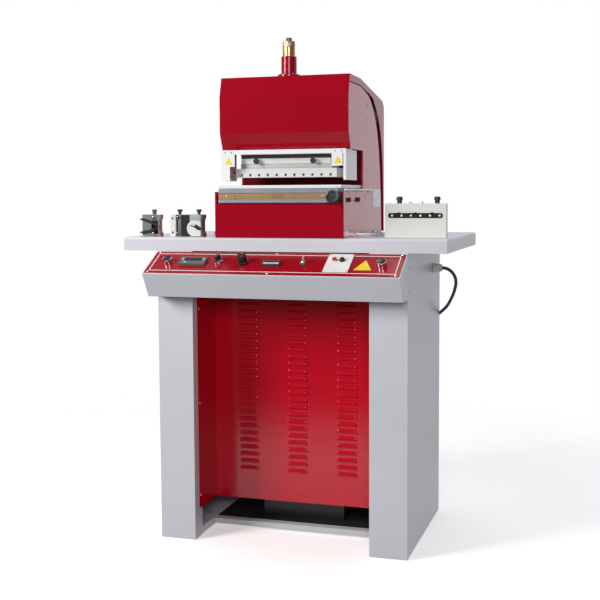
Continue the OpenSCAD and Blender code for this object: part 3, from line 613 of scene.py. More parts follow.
def louvre_bm(half=31.0, depth=5.0, height=12.0, wall=1.0):
    """A pressed louvre: a rounded hood, closed at its ends and open below."""
    xs = [-1, -0.985, -0.95, -0.9, -0.84, -0.5, 0, 0.5, 0.84, 0.9, 0.95, 0.985, 1]
    tmp = bmesh.new()

    def grid(half_x, deep, high, low):
        rows = []
        for u in xs:
            edge = max(0.0, (abs(u) - 0.8) / 0.2)
            f = math.sqrt(max(0.0, 1 - edge * edge)) + 0.02
            row = []
            for k in range(8):
                a = math.radians(90 * k / 7)
                row.append(tmp.verts.new((u * half_x, 0.3 - (deep * f + 0.3) * math.sin(a),
                                          low + (high - low) * f * math.cos(a))))
            rows.append(row)
        return rows

    outer = grid(half, depth, height, 0.0)
    inner = grid(half - wall, depth - wall, height - wall, 0.0)
    for rows, flip in ((outer, False), (inner, True)):
        for a, b in zip(rows, rows[1:]):
            for k in range(7):
                quad = (a[k], a[k + 1], b[k + 1], b[k])
                tmp.faces.new(tuple(reversed(quad)) if flip else quad)
    for i in range(len(xs) - 1):
        tmp.faces.new((outer[i][7], inner[i][7], inner[i + 1][7], outer[i + 1][7]))
        tmp.faces.new((outer[i][0], outer[i + 1][0], inner[i + 1][0], inner[i][0]))
    for i in (0, -1):
        for k in range(7):
            tmp.faces.new((outer[i][k], outer[i][k + 1], inner[i][k + 1], inner[i][k]))
    bmesh.ops.recalc_face_normals(tmp, faces=tmp.faces)
    return tmp


def make_recess():
    piece = Piece("recess_back")
    places = [(x, 178 + 22 * row) for x in (-155, 0, 155) for row in range(25)]
    loops = [[(-265, 86), (265, 86), (265, 856), (-265, 856)]]
    loops += [round_loop(x - 29, z + 0.8, x + 29, z + 9, 2, 2) for x, z in places]
    # Recess panel, louvres and walls use the brighter red copy, painted light against the shade of the
    # recess.
    piece.plate(loops, 0, 2, facing(0, 175, 0), RED_RECESS_LIT)
    for x, z in places:
        piece.take(louvre_bm(), move(x, 173, z), RED_RECESS_LIT)
    for side in (-1, 1):
        xs = sorted((side * 265, side * 267))
        piece.box((xs[0], 34, 86), (xs[1], 175, 856), RED_RECESS_LIT, bevel=0.6)
    piece.done("machine", ("recess_panel",), "red_paint")


# ---------------------------------------------------------------- fasteners

def dome_screw(piece, matrix, r, h, mat):
    """Rounded head; a black hexagonal disc on its top paints the shade of a recess."""
    piece.lathe([(r, 0), (r, h * 0.45), (r * 0.86, h * 0.8), (r * 0.56, h)], matrix, mat, 24)
    piece.lathe([(r * 0.46, h * 0.98), (r * 0.44, h * 1.01), (0, h * 1.01)], matrix, PAINTED_SHADE, 6)


def hex_bolt(piece, x, y, z, r, h):
    outline = [(r * math.cos(math.radians(60 * k)), r * math.sin(math.radians(60 * k)))
               for k in range(6)]
    piece.prism(outline, 0, h, move(x, y, z), STEEL, 0.8)
    piece.lathe([(r * 0.75, h), (r * 0.6, h + 0.5), (0, h + 0.5)], move(x, y, z), STEEL, 24)


def make_pan_painted_shade():
    """A black sheet on the base pan, around the power pack: painted shade of the dark interior."""
    piece = Piece("pan_painted_shade")
    for x0, y0, x1, y1 in ((-265, 178, 265, 229.6), (-265, 229.8, -130.4, 384),
                           (130.4, 229.8, 265, 384)):
        piece.box((x0, y0, 22.1), (x1, y1, 23.6), PAINTED_SHADE, bevel=0.3)
    piece.done("machine", (), "black_rubber")


def make_head_painted_shade():
    """Black sheets close behind the openings of the head's side plates: painted shade seen through the
    openings.
    """
    piece = Piece("head_painted_shade")
    for y0, z0, y1, z1 in ((22, 997, 88, 1016), (122, 997, 192, 1016), (271, 1279, 281, 1302),
                           (246, 1006, 256, 1021)):
        for x in (-186.8, 185.8):
            piece.box((x, y0, z0), (x + 1, y1, z1), PAINTED_SHADE, bevel=0)
    piece.done("machine", (), "black_rubber")


def make_screws():
    piece = Piece("case_screws")
    for x in (-361, 0, 361):
        for s in (9, PANEL_LEN - 9):
            dome_screw(piece, on_panel(x, s), 3.5, 2, CHROME)
    for side in (-1, 1):
        turn = 90 * side
        for z in (754, 819):
            dome_screw(piece, move(side * 375, 20, z, turn, "Y"), 4, 2, STEEL)
        for z in (125, 405, 686):
            dome_screw(piece, move(side * 265, 46, z, -turn, "Y"), 4, 2, CHROME)
        for y, z, r in ((76, 1264, 3), (74, 1023, 2.5), (148, 1025, 2.5), (108, 1006, 2.5)):
            dome_screw(piece, move(side * 192, y, z, turn, "Y"), r, 2, STEEL)
        for y in (180, 314):
            hex_bolt(piece, side * 294, y, 25, 7, 5.4)
        hex_bolt(piece, side * 235, 203, 910, 9, 7.4)
        for z in (50, 440, 830):
            dome_screw(piece, to_rear(side * 358, 502, z), 4, 2, STEEL)
    piece.done("machine", ("screws",), "steel")


# ---------------------------------------------------------------- control panel

def make_panel():
    piece = Piece("panel_face")
    mid = PANEL_LEN / 2
    m = on_panel(0, mid)
    half_x, half_y = 371, mid - 4

    def spot(x, s, r):
        return circle_loop(x, mid - s, r)

    def window(x, s, w, h):
        return round_loop(x - w / 2, mid - s - h / 2, x + w / 2, mid - s + h / 2, 1, 2)

    loops = [round_loop(-half_x, -half_y, half_x, half_y, 2, 3),
             spot(-315, 62, 11), spot(315, 62, 11), spot(-163, 54, 11), spot(-87, 58, 4),
             spot(89, 56, 5.5), window(-237, 60, 70, 29), window(-1, 64, 46, 20)]
    piece.plate(loops, -2, 0, m, RED_PANEL)
    inset = 11
    lines = [round_loop(inset - half_x, inset - half_y, half_x - inset, half_y - inset, 3, 5),
             round_loop(inset + 2.4 - half_x, inset + 2.4 - half_y, half_x - inset - 2.4,
                        half_y - inset - 2.4, 1.5, 5)]
    piece.plate(lines, 0, 0.25, m, INK_WHITE, 0.05)
    tip, base = (265, 36), (239, 290, 87)
    outline = [(base[0], mid - base[2]), (base[1], mid - base[2]), (tip[0], mid - tip[1])]
    piece.prism(soft_corners(outline, 3.0), 0, 0.3, m, YELLOW, 0.05, 1)
    piece.done("machine", ("panel_plate",), "red_paint")


def soft_corners(points, r, n=5):
    """Rounds each corner of a closed outline."""
    out = []
    count = len(points)
    for i in range(count):
        p = Vector(points[i])
        a = (Vector(points[i - 1]) - p).normalized() * r
        b = (Vector(points[(i + 1) % count]) - p).normalized() * r
        for k in range(n + 1):
            t = k / n
            out.append(tuple(p + a * (1 - t) ** 2 + b * t ** 2))
    return out


def bezel(piece, m, top):
    """Turned ring up to `top` above the panel, with its barrel behind."""
    piece.lathe([(11, -34), (11, 0), (14.5, 0), (14.7, 0.5), (14.7, 2.8), (14.3, 3.4),
                 (13.9, top - 1.2), (13.5, top - 0.3), (12.9, top), (12.3, top - 0.4),
                 (12.2, top - 1.5), (12.2, 0.2), (9.2, 0.2), (9.2, -14), (0, -14)], m, CHROME)
    piece.lathe([(11.4, -2.2), (15.5, -2.2), (15.5, -5.5), (11.4, -5.5)], m, STEEL, 6)


def make_bezels():
    piece = Piece("control_rings")
    for x, s, top in ((-315, 62, 15), (315, 62, 15), (-163, 54, 8)):
        bezel(piece, on_panel(x, s), top)
    dial = on_panel(-87, 58)
    piece.lathe([(4, -20), (4, 0), (7, 0), (7.2, 1.4), (6.6, 2), (3, 2), (3, 11.6), (2.4, 12),
                 (0, 12)], dial, STEEL)
    flip = on_panel(89, 56)
    piece.prism(hexagon(9), 0, 5, flip, TEAL, 0.6)
    piece.lathe([(5.5, -20), (5.5, 6), (5.1, 6.5), (4.5, 6.5), (4.2, 6.1), (4.2, -4), (0, -4)],
                flip, CHROME)
    piece.done("machine", ("control_bezels",), "polished_steel")


def make_start_button(node, x):
    piece = Piece(node + "_cap")
    piece.lathe([(0, -8), (8.9, -8), (8.9, 4.6), (11.9, 4.6), (12, 5), (12, 14.4), (11.6, 15.5),
                 (10.9, 16), (10.1, 15.7), (8.8, 15.1), (0, 14.8)], on_panel(x, 62), GLOSS_BLACK)
    piece.done(node, (node,), "gloss_black")


def make_selector():
    piece = Piece("selector_handle")
    m = on_panel(-163, 54)
    piece.lathe([(0, -8), (8.9, -8), (8.9, 3), (11.9, 3), (12, 3.4), (12, 11.8), (11.4, 12.6),
                 (0, 12.9)], m, GLOSS_BLACK)
    grip = [(-4, -11.4), (4, -11.4), (4.2, 8), (2.8, 12.5), (0, 15), (-2.8, 12.5), (-4.2, 8)]
    piece.prism(grip, 12, 21, m, GLOSS_BLACK, 1.2, 3)
    piece.box((-0.6, 3.5, 20.9), (0.6, 13, 21.15), INK_WHITE, m, 0)
    piece.done("selector_lever", ("selector_lever",), "gloss_black")


def make_dial():
    piece = Piece("dial_grip")
    m = on_panel(-87, 58)
    piece.lathe([(3.1, 2.5), (16, 2.5), (16.5, 3), (16.5, 4.6), (15.9, 5.6), (12.4, 6.2)], m,
                GLOSS_BLACK)

    def flutes(a, r, z):
        return r - 0.9 * (0.5 + 0.5 * math.cos(12 * a)) if 6.5 < z < 25.4 else r

    piece.lathe([(12.9, 6), (13, 6.6), (11.9, 25.3), (11.3, 26.4), (10.2, 26.9), (0, 27)], m,
                GLOSS_BLACK, 144, flutes)
    piece.lathe([(8.4, 26.95), (8.2, 27.3), (0, 27.3)], m, BLACK)
    piece.box((-0.7, 3, 27.25), (0.7, 11, 27.5), INK_WHITE, m, 0)
    for k in range(11):
        tick = m @ Matrix.Rotation(math.radians(135 - 27 * k), 4, "Z")
        piece.box((-0.6, 13.4, 5.65), (0.6, 15.7, 5.85), INK_WHITE, tick, 0)
    piece.done("dial_knob", ("dial_knob",), "black_plastic")


def make_toggle():
    piece = Piece("toggle_bat")
    m = on_panel(89, 56, 3) @ Matrix.Rotation(math.radians(15), 4, "Y")
    piece.lathe([(0, -2.6), (2.4, -2.2), (2.9, 0), (2.3, 2), (1.6, 2.8), (1.75, 6), (2.1, 12),
                 (2.6, 17.5), (2.65, 18.6), (2.3, 20), (1.3, 20.6), (0, 20.7)], m, LIGHT_ALLOY, 32)
    piece.done("toggle_lever", ("toggle_lever",), "polished_steel")


def digit_bars(piece, m, x, y, w, h, z, mat):
    """The seven bars of one unlit digit."""
    t = w * 0.16
    flat = [(x, y + h / 2), (x, y), (x, y - h / 2)]
    for cx, cy in flat:
        piece.box((cx - w / 2 + t, cy - t / 2, z), (cx + w / 2 - t, cy + t / 2, z + 0.12),
                  mat, m, 0)
    for side in (-1, 1):
        for part in (-1, 1):
            cx = x + side * (w / 2 - t / 2)
            cy = y + part * h / 4
            piece.box((cx - t / 2, cy - h / 4 + t / 2, z),
                      (cx + t / 2, cy + h / 4 - t / 2, z + 0.12), mat, m, 0)


def make_instruments():
    piece = Piece("panel_instruments")
    m = on_panel(-237, 60)
    frame_loops = [round_loop(-39, -18, 39, 18, 2.5, 5), round_loop(-26, -4, 26, 13, 1.2, 4)]
    piece.plate(frame_loops, 0, 8, m, GREY_CASE, 0.7)
    piece.box((-34.8, -14.3, -46), (34.8, 14.3, 5.4), CASE, m, 0.6)
    piece.box((-25.8, -3.8, 5), (25.8, 12.8, 6.8), DISPLAY, m, 0.3)
    for k in range(3):
        digit_bars(piece, m, -12 + 10 * k, 4.5, 6.4, 12, 6.8, SEGMENT)
    for k in range(3):
        piece.box((19, 9 - 5 * k, 6.8), (22.5, 10 - 5 * k, 6.95), SEGMENT, m, 0)
    for x, y, mat in ((-32, 4, GREY_PLASTIC), (32, 4, GREY_PLASTIC), (-21, -11, GREY_PLASTIC),
                      (-7, -11, GREY_CASE), (7, -11, GREY_CASE), (21, -11, GREY_CASE)):
        piece.box((x - 3.6, y - 2.2, 7.6), (x + 3.6, y + 2.2, 9.0), mat, m, 0.6)
    m = on_panel(-1, 64)
    loops = [round_loop(-26.5, -12, 26.5, 12, 2, 4), round_loop(-22.5, -7.5, 22.5, 7, 1, 3)]
    piece.plate(loops, 0, 7, m, CASE, 0.6)
    piece.box((-22.8, -9.8, -40), (22.8, 9.8, 4.6), CASE, m, 0.6)
    piece.box((-22.3, -7.3, 4.4), (22.3, 1.6, 5.8), WHITE_PLASTIC, m, 0.3)
    piece.box((-22.3, 2.2, 4.4), (22.3, 6.8, 5.4), GLOSS_BLACK, m, 0.3)
    for k in range(6):
        digit_bars(piece, m, -14 + 5.6 * k, -2.9, 3.4, 6.4, 5.8, INK_BLACK)
    piece.box((18, 7.9, 6.8), (22, 10.6, 7.4), GLOSS_RED, m, 0.3)
    piece.done("machine", ("instruments",), "instrument_plastic")


def make_switch_plate():
    piece = Piece("switch_card")
    m = on_panel(191.5, 56)
    holes = [circle_loop(-13.5, 12, 6.7), circle_loop(8.5, 12, 6.7)]
    piece.plate([round_loop(-35.5, -45, 35.5, 45, 2.5, 5)] + holes, 1, 3, m, WHITE_PLASTIC, 0.5)
    piece.plate([round_loop(-35.1, -44.6, 35.1, 44.6, 2.5, 5)], 0, 1.2, m, WHITE_PLASTIC, 0.1)
    for x, mat in ((-13.5, GREY_PLASTIC), (8.5, BLACK)):
        ring = m @ Matrix.Translation((x, 12, 0))
        piece.lathe([(8.2, 2.6), (8.2, 5.2), (7.7, 6), (7.0, 6), (6.6, 5.6), (6.6, 1.3), (0, 1.3)],
                    ring, mat)
    piece.box((-6.5, 10.9, 3), (1.5, 13.1, 3.3), INK_BLACK, m, 0)
    for x, y in ((-31.5, 41), (31.5, 41), (-31.5, -41), (31.5, -41)):
        piece.lathe([(2.2, 3), (2.1, 3.5), (1.6, 3.9), (0, 4)], m @ Matrix.Translation((x, y, 0)),
                    STEEL, 20)
    piece.done("machine", ("switch_plate",), "white_plastic")
    for node, x, mat in (("stop_button", 178, GLOSS_RED), ("run_button", 200, GLOSS_BLACK)):
        cap = Piece(node + "_cap")
        cap.lathe([(0, 4.2), (6.2, 4.2), (6.45, 4.6), (6.45, 9.8), (6, 10.6), (5.2, 10.9),
                   (0, 11.1)], on_panel(x, 44), mat)
        cap.done(node, (node,), SLOT[node])


# ---------------------------------------------------------------- head

def make_sleeve():
    piece = Piece("sleeve_cover")
    m = move(0, RAM_Y, 1361)
    piece.lathe([(19, 0), (33, 0), (33, 6), (32.2, 7), (23.4, 7), (22.5, 8.2), (22.5, 57.8),
                 (21.6, 59), (19.6, 59), (19, 58.4), (19, 0.2)], m, RED, 64)
    for k in range(4):
        a = math.radians(45 + 90 * k)
        spot = m @ Matrix.Translation((28 * math.cos(a), 28 * math.sin(a), 7))
        dome_screw(piece, spot, 2.4, 1.8, STEEL)
    piece.done("machine", ("sleeve_tube",), "red_paint")

    brass = Piece("brass_collar")
    m = move(0, RAM_Y, 1400)

    def knurl(a, r, z):
        return r - 0.35 * (0.5 + 0.5 * math.cos(48 * a)) if 48.5 < z < 61.5 else r

    brass.lathe([(8, 0), (18, 0), (18, 26), (17.4, 26.4), (17.4, 27.6), (18, 28), (18, 46),
                 (17.2, 46.6), (17.2, 48), (18, 48.6), (18, 61.4), (17.2, 63.2), (15.6, 64),
                 (8.6, 64), (8, 63.4), (8, 0.2)], m, BRASS_ROUND, 288, knurl)
    brass.done("ram", ("brass_sleeve",), "brass")

    nut = Piece("stroke_nut_hex")
    m = move(0, RAM_Y, 1464.3)
    nut.plate([hexagon(9), circle_loop(0, 0, 5.3, 32)], 0, 9.6, m, ALLOY_DARK, 0.9)
    nut.done("stroke_nut", ("stroke_nut",), "steel")


def make_guard():
    piece = Piece("guard_frame")
    for low, high in (((-188, 44, 1138), (188, 46, 1151)), ((-186, 46, 1149), (-160, 100, 1151)),
                      ((160, 46, 1149), (186, 100, 1151)), ((188, 80, 1149), (191, 100, 1151)),
                      ((-191, 80, 1149), (-188, 100, 1151))):
        piece.box(low, high, WHITE, bevel=0.5)
    for low, high in (((-188, 44, 1063), (-181.5, 46, 1138)),
                      ((-181.5, 44, 1063), (-161, 46, 1103)),
                      ((-181.5, 44, 1103), (-146, 46, 1138)), ((146, 44, 1103), (178, 46, 1138)),
                      ((180, 44, 1063), (188, 46, 1138))):
        piece.box(low, high, WHITE, bevel=0.35)
    for side in (-1, 1):
        xs = sorted((side * 186, side * 188))
        piece.box((xs[0], 46, 1063), (xs[1], 165, 1149), WHITE, bevel=0.35)
        m = facing(side * 164.5, 44, 1120)
        outline = [(-12, -10.5), (12, -10.5), (0, 11)]
        piece.prism(soft_corners(outline, 3), 0, 0.3, m, YELLOW, 0.05, 1)
        for x in (176, 156):
            dome_screw(piece, facing(side * x, 44, 1144.5), 2.6, 1.6, STEEL)
        for y in (60, 140):
            dome_screw(piece, move(side * 188, y, 1142, 90 * side, "Y"), 2.4, 1.5, STEEL)
    piece.done("machine", ("guard",), "white_paint")


def make_side_guide():
    piece = Piece("side_guide_bar")
    piece.box((192, 8, 1033), (200, 315, 1038), WHITE, bevel=0.8)
    for y in (40, 290):
        piece.box((192, y, 1027), (195, y + 16, 1033.2), WHITE, bevel=0.5)
        dome_screw(piece, to_right(195, y + 8, 1030), 2, 1.4, STEEL)
    piece.done("machine", ("side_guide",), "white_paint")


def make_rating_plate():
    """Blank plate riveted to the right head plate."""
    piece = Piece("blank_rating_plate")
    m = to_right(192, 398, 1010) @ Matrix.Rotation(math.radians(90), 4, "Z")
    piece.plate([round_loop(-51, -28, 51, 28, 3, 5)], 0, 0.9, m, LABEL, 0.25)
    for x in (-46, 46):
        for y in (-23, 23):
            piece.lathe([(1.9, 0.8), (1.7, 1.5), (0.9, 2.0), (0, 2.1)],
                        m @ Matrix.Translation((x, y, 0)), STEEL, 20)
    piece.done("machine", (), "silver_alloy")


# ---------------------------------------------------------------- heated head

def make_type_plate():
    piece = Piece("type_plate_body")
    # Upper band in the darker alloy copy, painted shade on the band.
    piece.box((-138, 74, 1097.8), (138, 148, 1111), ALLOY_SHADED_BAND, bevel=0.8)
    piece.box((-153, 76, 1072), (153, 150, 1098), LIGHT_ALLOY, bevel=1.0)
    loops = [round_loop(-153, 1072, 153, 1098, 0.8, 3)]
    loops += [circle_loop((i - 5) * 27, 1079, 4, 24) for i in range(11)]
    m = facing(0, 76.2, 0)
    piece.plate(loops, 0, 4.2, m, LIGHT_ALLOY, 0.5)
    # A dark disc at the back of each hole paints the hole's shade.
    for i in range(11):
        spot = m @ Matrix.Translation(((i - 5) * 27, 1079, 0))
        piece.lathe([(4.1, 0.3), (3.6, 0.5), (2.0, 0.5), (1.6, 0.25), (0, 0.25)],
                    spot, ALLOY_DARK, 24)
    piece.done("ram", ("type_plate",), "silver_alloy")


def grip_knob(name, node, m, body, head_r, neck_r, h, tail, tail_r, mat, flutes=36):
    """Turned knob with a fluted rim, a dished top and a threaded tail."""
    piece = Piece(name)
    rim = 0.55 * h

    def wave(a, r, z):
        return r - 0.3 * (0.5 + 0.5 * math.cos(flutes * a)) if rim + 0.8 < z < h - 1.2 else r

    piece.lathe([(0, 0), (neck_r, 0), (neck_r, rim - 1.6), (head_r - 1, rim - 0.2),
                 (head_r, rim + 0.6), (head_r, rim + 0.9), (head_r, h - 1.3), (head_r, h - 1.0),
                 (head_r - 0.9, h), (head_r * 0.66, h), (head_r * 0.55, h - 0.9), (0, h - 1.1)],
                m, mat, flutes * 4, wave)
    piece.lathe([(0, -tail), (tail_r - 0.4, -tail), (tail_r, -tail + 0.5), (tail_r, 0.2), (0, 0.2)],
                m, STEEL, 24)
    piece.done(body, (node,), "black_plastic")


def make_head_knobs():
    for side, name in ((-1, "left"), (1, "right")):
        node = "clamp_knob_" + name
        grip_knob(node + "_grip", node, facing(side * 86, 71.6, 1119), node, 8, 6, 14, 16, 4, BLACK)


def make_leads():
    """Two sleeved heater leads from a clip at the plate's left end."""
    piece = Piece("heater_leads")
    piece.box((-161, 90, 1074), (-153.2, 110, 1092), ALLOY_DARK, bevel=0.8)
    for y, z in ((97, 1091), (103, 1088)):
        pts = [(-155, y, z + 2), (-163, y, z + 2), (-170, y, z - 2), (-176, y, z - 8),
               (-178, y, z - 13), (-172, y, z - 17), (-160, y, z - 15)]
        piece.sweep(smooth_path(pts, 5), 2.1, LEAD_BROWN, 10)
    loop = [(-159, 100, 1082), (-168, 99, 1081), (-176, 98, 1079), (-178, 97, 1076),
            (-172, 96, 1073.4), (-164, 95, 1073.6), (-158, 94, 1076)]
    piece.sweep(smooth_path(loop, 5), 1.7, LEAD_BLACK, 10)
    piece.done("ram", ("heater_lead",), "lead_sleeve")


# ---------------------------------------------------------------- bed

def make_bed():
    piece = Piece("bed_slide_body")
    piece.copy_node("bed_slide", ALLOY, 0.6)
    for k in range(64):
        x = -175 + 5 * k
        tall = 5.5 if k % 2 == 0 else 3.2
        piece.box((x - 0.25, -4.12, 1038 - tall), (x + 0.25, -3.9, 1037.8), INK_BLACK, bevel=0)
    piece.box((-178, -4.6, 1026.4), (144, -3.8, 1027.6), ALLOY_DARK, bevel=0.2)
    piece.done("bed", ("bed_slide",), "silver_alloy")
    soften("bed_plate", WHITE, 1.2)

    rule = Piece("brass_rule_strip")
    rule.copy_node("brass_rule", BRASS, 0.7)
    for x in (-127, -104):
        rule.box((x - 0.6, -5.2, 1009.3), (x + 0.6, -4.8, 1019), INK_BLACK, bevel=0)
    rule.box((-11, -5.15, 1014.5), (22, -4.8, 1021.5), BRASS_ROUND, bevel=0.1)
    for x in (-152, 134):
        rule.lathe([(3.2, 0), (3.0, 0.7), (2.2, 1.1), (0, 1.2)], facing(x, -5, 1018),
                   BRASS_ROUND, 24)
    rule.done("bed", ("brass_rule",), "brass")

    knob = Piece("bed_knob_grip")

    def ripple(a, r, z):
        return r - 0.5 * (0.5 + 0.5 * math.cos(60 * a)) if 10.5 < z < 25.8 else r

    m = facing(166, 0, 1016)
    knob.lathe([(0, 0.2), (6.5, 0.2), (6.5, 8.2), (16.6, 8.6), (18.2, 10.2), (18.2, 10.6),
                (18.2, 25.6), (18.0, 26.2), (16.8, 28), (14.8, 28.5), (13.6, 28), (11.8, 25.4), (8.8, 24.4),
                (5.6, 24.8), (0, 25)], m, BLACK_SATIN, 240, ripple)
    knob.lathe([(0, -18), (4.2, -18), (4.6, -17.4), (4.6, 0.6), (0, 0.6)], m, STEEL, 32)
    knob.done("bed_knob", ("bed_knob",), "gloss_black")


# ---------------------------------------------------------------- holders

def make_chase_holder():
    piece = Piece("chase_holder_body")
    low, high = (293, 900), (467, 996)
    mid = (low[0] + high[0]) / 2
    slot = []
    for k in range(19):
        a = math.radians(-90 + 10 * k)
        slot.append((mid + 71 + 7 * math.cos(a), 962 + 7 * math.sin(a)))
    for x in (mid + 47, mid, mid - 47):
        slot += [(x + 5, 969), (x + 3.2, 970.6), (x, 971.3), (x - 3.2, 970.6), (x - 5, 969)]
    for k in range(19):
        a = math.radians(90 + 10 * k)
        slot.append((mid - 71 + 7 * math.cos(a), 962 + 7 * math.sin(a)))
    m = facing(0, 80, 0)
    face = round_loop(low[0], low[1], high[0], high[1], 1, 3)
    piece.plate([face, slot], 0, 8, m, IVORY, 0.8)
    piece.box((low[0], 79.5, low[1]), (high[0], 96, high[1]), IVORY, bevel=0.8)
    # A black sheet at the back of the slot paints its shade.
    piece.plate([slot], -0.4, 1.0, m, PAINTED_SHADE, 0.05)
    for i in range(6):
        spot = m @ Matrix.Translation((mid + (i - 2.5) * 27, 962, 0))
        piece.lathe([(3.1, 0.4), (3.0, 2.2), (2.4, 2.6), (0, 2.8)], spot, WHITE_PLASTIC, 24)
    for x, h in ((363, 3.5), (395, 4.5)):
        dome_screw(piece, move(x, 84, 996), 5, h, STEEL)
    piece.done("chase_holder", ("chase_holder",), "ivory_alloy")
    for x, name in ((333, "left"), (440, "right")):
        node = "chase_knob_" + name
        knob = Piece(node + "_grip")
        m = move(x, 84, 996.4)
        knob.lathe([(0, 0), (7, 0), (7, 7.5), (7.6, 8.6), (8.9, 10), (9, 11), (9, 15.4), (8.4, 17),
                    (6.6, 18.4), (3.6, 19), (0, 19.1)], m, BLACK, 48)
        knob.lathe([(0, -12), (2.7, -12), (3, -11.5), (3, 0.3), (0, 0.3)], m, STEEL, 24)
        knob.done(node, (node,), "black_plastic")


def make_jaw_holder():
    piece = Piece("jaw_holder_body")
    x0, y0, z0 = -438, 30, 900
    m = facing(0, y0 + 9, 0)
    outer = round_loop(x0, z0, x0 + 53, z0 + 65, 0.8, 3)
    notch = [(x0 + 30, z0 + 8), (x0 + 51, z0 + 8), (x0 + 51, z0 + 47), (x0 + 30, z0 + 47)]
    piece.plate([outer, notch], 0, 6, m, ALLOY_DARK, 0.6)
    piece.box((x0, y0 + 13, z0), (x0 + 53, y0 + 20, z0 + 65), ALLOY_DARK, bevel=0.8)
    piece.box((x0, y0 + 8.6, z0), (x0 + 30, y0 + 14, z0 + 65), ALLOY_DARK, bevel=0.5)
    piece.box((x0 + 29, y0 + 8.6, z0 + 47), (x0 + 53, y0 + 14, z0 + 65), ALLOY_DARK, bevel=0.5)
    # A black sheet in the notch paints its shade.
    piece.box((x0 + 29, y0 + 11, z0 + 7), (x0 + 52, y0 + 13.5, z0 + 48), PAINTED_SHADE, bevel=0.2)
    arms = [[(-9, 50.5), (2, 55), (20, 50), (52, 38), (52, 29), (20, 41), (2, 47)],
            [(-9, 12), (2, 16.5), (20, 19), (40, 26), (40, 16), (20, 10.5), (2, 7.5)]]
    for arm in arms:
        outline = soft_corners([(x0 + x, z0 + z) for x, z in arm], 1.5, 3)
        piece.prism(outline, 0, 3, facing(0, y0 + 3.4, 0), JET, 0.7)
    for z in (9, 56):
        piece.lathe([(5.4, 0), (5.4, 1), (4.9, 3.2), (3.4, 5), (0, 5.6)],
                    facing(x0 + 37, y0 + 3.2, z0 + z), CHROME, 28)
    plate = [(0, 0), (8, 0), (8, 12), (5.4, 14.5), (4.2, 19), (4.2, 46), (5.4, 50.5), (8, 53),
             (8, 65), (0, 65)]
    outline = [(x0 + 53 + x, z0 + z) for x, z in plate]
    piece.prism(outline, 0, 20, facing(0, y0 + 20, 0), PINK_ALLOY, 0.8)
    piece.done("jaw_holder", ("jaw_holder",), "grey_alloy")

    knob = Piece("jaw_knob_grip")
    m = move(-401, 40, 965.4)
    knob.lathe([(0, 0), (5.4, 0), (5.6, 1.2), (7.3, 12.6), (7.4, 13.6), (6.8, 14.7), (0, 15)], m,
               GREY_KNOB, 48)
    knob.lathe([(0, -10), (2.7, -10), (3, -9.5), (3, 0.3), (0, 0.3)], m, STEEL, 24)
    knob.done("jaw_knob", ("jaw_knob",), "black_plastic")


def make_round_holder():
    piece = Piece("round_holder_body")
    x0, y0, z0 = -351, 40, 900
    piece.box((x0, y0, z0), (x0 + 18, y0 + 20, z0 + 65), IVORY, bevel=0.9)
    for z in (12, 54):
        dome_screw(piece, facing(x0 + 8, y0, z0 + z), 3, 1.6, BLACK)
    piece.box((x0 + 18, y0 + 6, z0), (x0 + 100, y0 + 20, z0 + 65), ALLOY_DARK, bevel=0.8)
    for k in range(5):
        x = x0 + 33 + 6 * k
        piece.box((x, y0 + 3.4, z0 + 1), (x + 4.2, y0 + 7, z0 + 64), JET, bevel=0.9)
    for z in (10, 57):
        piece.lathe([(4.6, 0), (4.6, 2), (3.8, 4), (0, 4.6)], facing(x0 + 24, y0 + 6, z0 + z),
                    CHROME, 28)
    piece.box((x0 + 62, y0 + 2.2, z0 + 40), (x0 + 99, y0 + 7, z0 + 64), PALE_GREY, bevel=0.8)
    face = [(x0 + 99, z0 + 1), (x0 + 99, z0 + 45)]
    for k in range(25):
        a = math.radians(78 + 174 * k / 24)
        face.append((x0 + 77 + 24 * math.cos(a), z0 + 24 + 24 * math.sin(a)))
    face = [(x, max(z, z0 + 1)) for x, z in face]
    piece.prism(face, 0, 5.4, facing(0, y0 + 6.2, 0), IVORY, 0.9)
    blade = [(61, 33), (74, 37.5), (88, 34), (99, 25), (98, 19), (88, 19.5), (79, 26)]
    outline = soft_corners([(x0 + x, z0 + z) for x, z in blade], 1.5, 3)
    piece.prism(outline, 0, 1.4, facing(0, y0 + 1.2, 0), JET, 0.5)
    tongue = [(x0 + 61.5, z0 + 34.5), (x0 + 81, z0 + 37), (x0 + 79, z0 + 30.5)]
    piece.prism(soft_corners(tongue, 1.0, 3), 0, 1.9, facing(0, y0 + 1.2, 0), PALE_ALLOY, 0.4)
    plate = [(0, 0), (8, 0), (8, 11), (5.4, 13.5), (4.2, 17), (4.2, 48), (5.4, 51.5), (8, 54),
             (8, 65), (0, 65)]
    outline = [(x0 + 100 + x, z0 + z) for x, z in plate]
    piece.prism(outline, 0, 20, facing(0, y0 + 20, 0), MAROON, 0.8)
    piece.box((x0 + 96.5, y0 + 0.6, z0), (x0 + 100.5, y0 + 19, z0 + 65), PINK_ALLOY, bevel=0.5)
    piece.done("round_holder", ("round_holder",), "ivory_alloy")
    for x, name in ((-323, "left"), (-262, "right")):
        node = "round_knob_" + name
        grip_knob(node + "_grip", node, move(x, 50, 965.4), node, 7.5, 4.6, 15, 10, 3, BLACK, 30)


# ---------------------------------------------------------------- cable gland

def make_gland():
    piece = Piece("gland_body")
    m = to_right(375, 388, 795)
    hexes = hexagon(15)
    piece.prism(hexes, 0.2, 7, m, GLAND_PLASTIC, 0.9)
    piece.prism([(x * 0.93, y * 0.93) for x, y in hexes], -12, -2, m, GLAND_PLASTIC, 0.8)

    def ribs(a, r, z):
        return r - 0.6 * (0.5 + 0.5 * math.cos(18 * a)) if 8.2 < z < 20.4 else r

    piece.lathe([(0, -14), (10, -14), (10, 7), (12.2, 7.2), (12.5, 8), (12.5, 20.6), (12, 21.6),
                 (9, 27.6), (8.2, 28), (5.3, 28), (5.0, 27), (0, 27)], m, GLAND_PLASTIC, 108, ribs)
    piece.done("machine", ("cable_gland",), "grey_plastic")


# ---------------------------------------------------------------- build

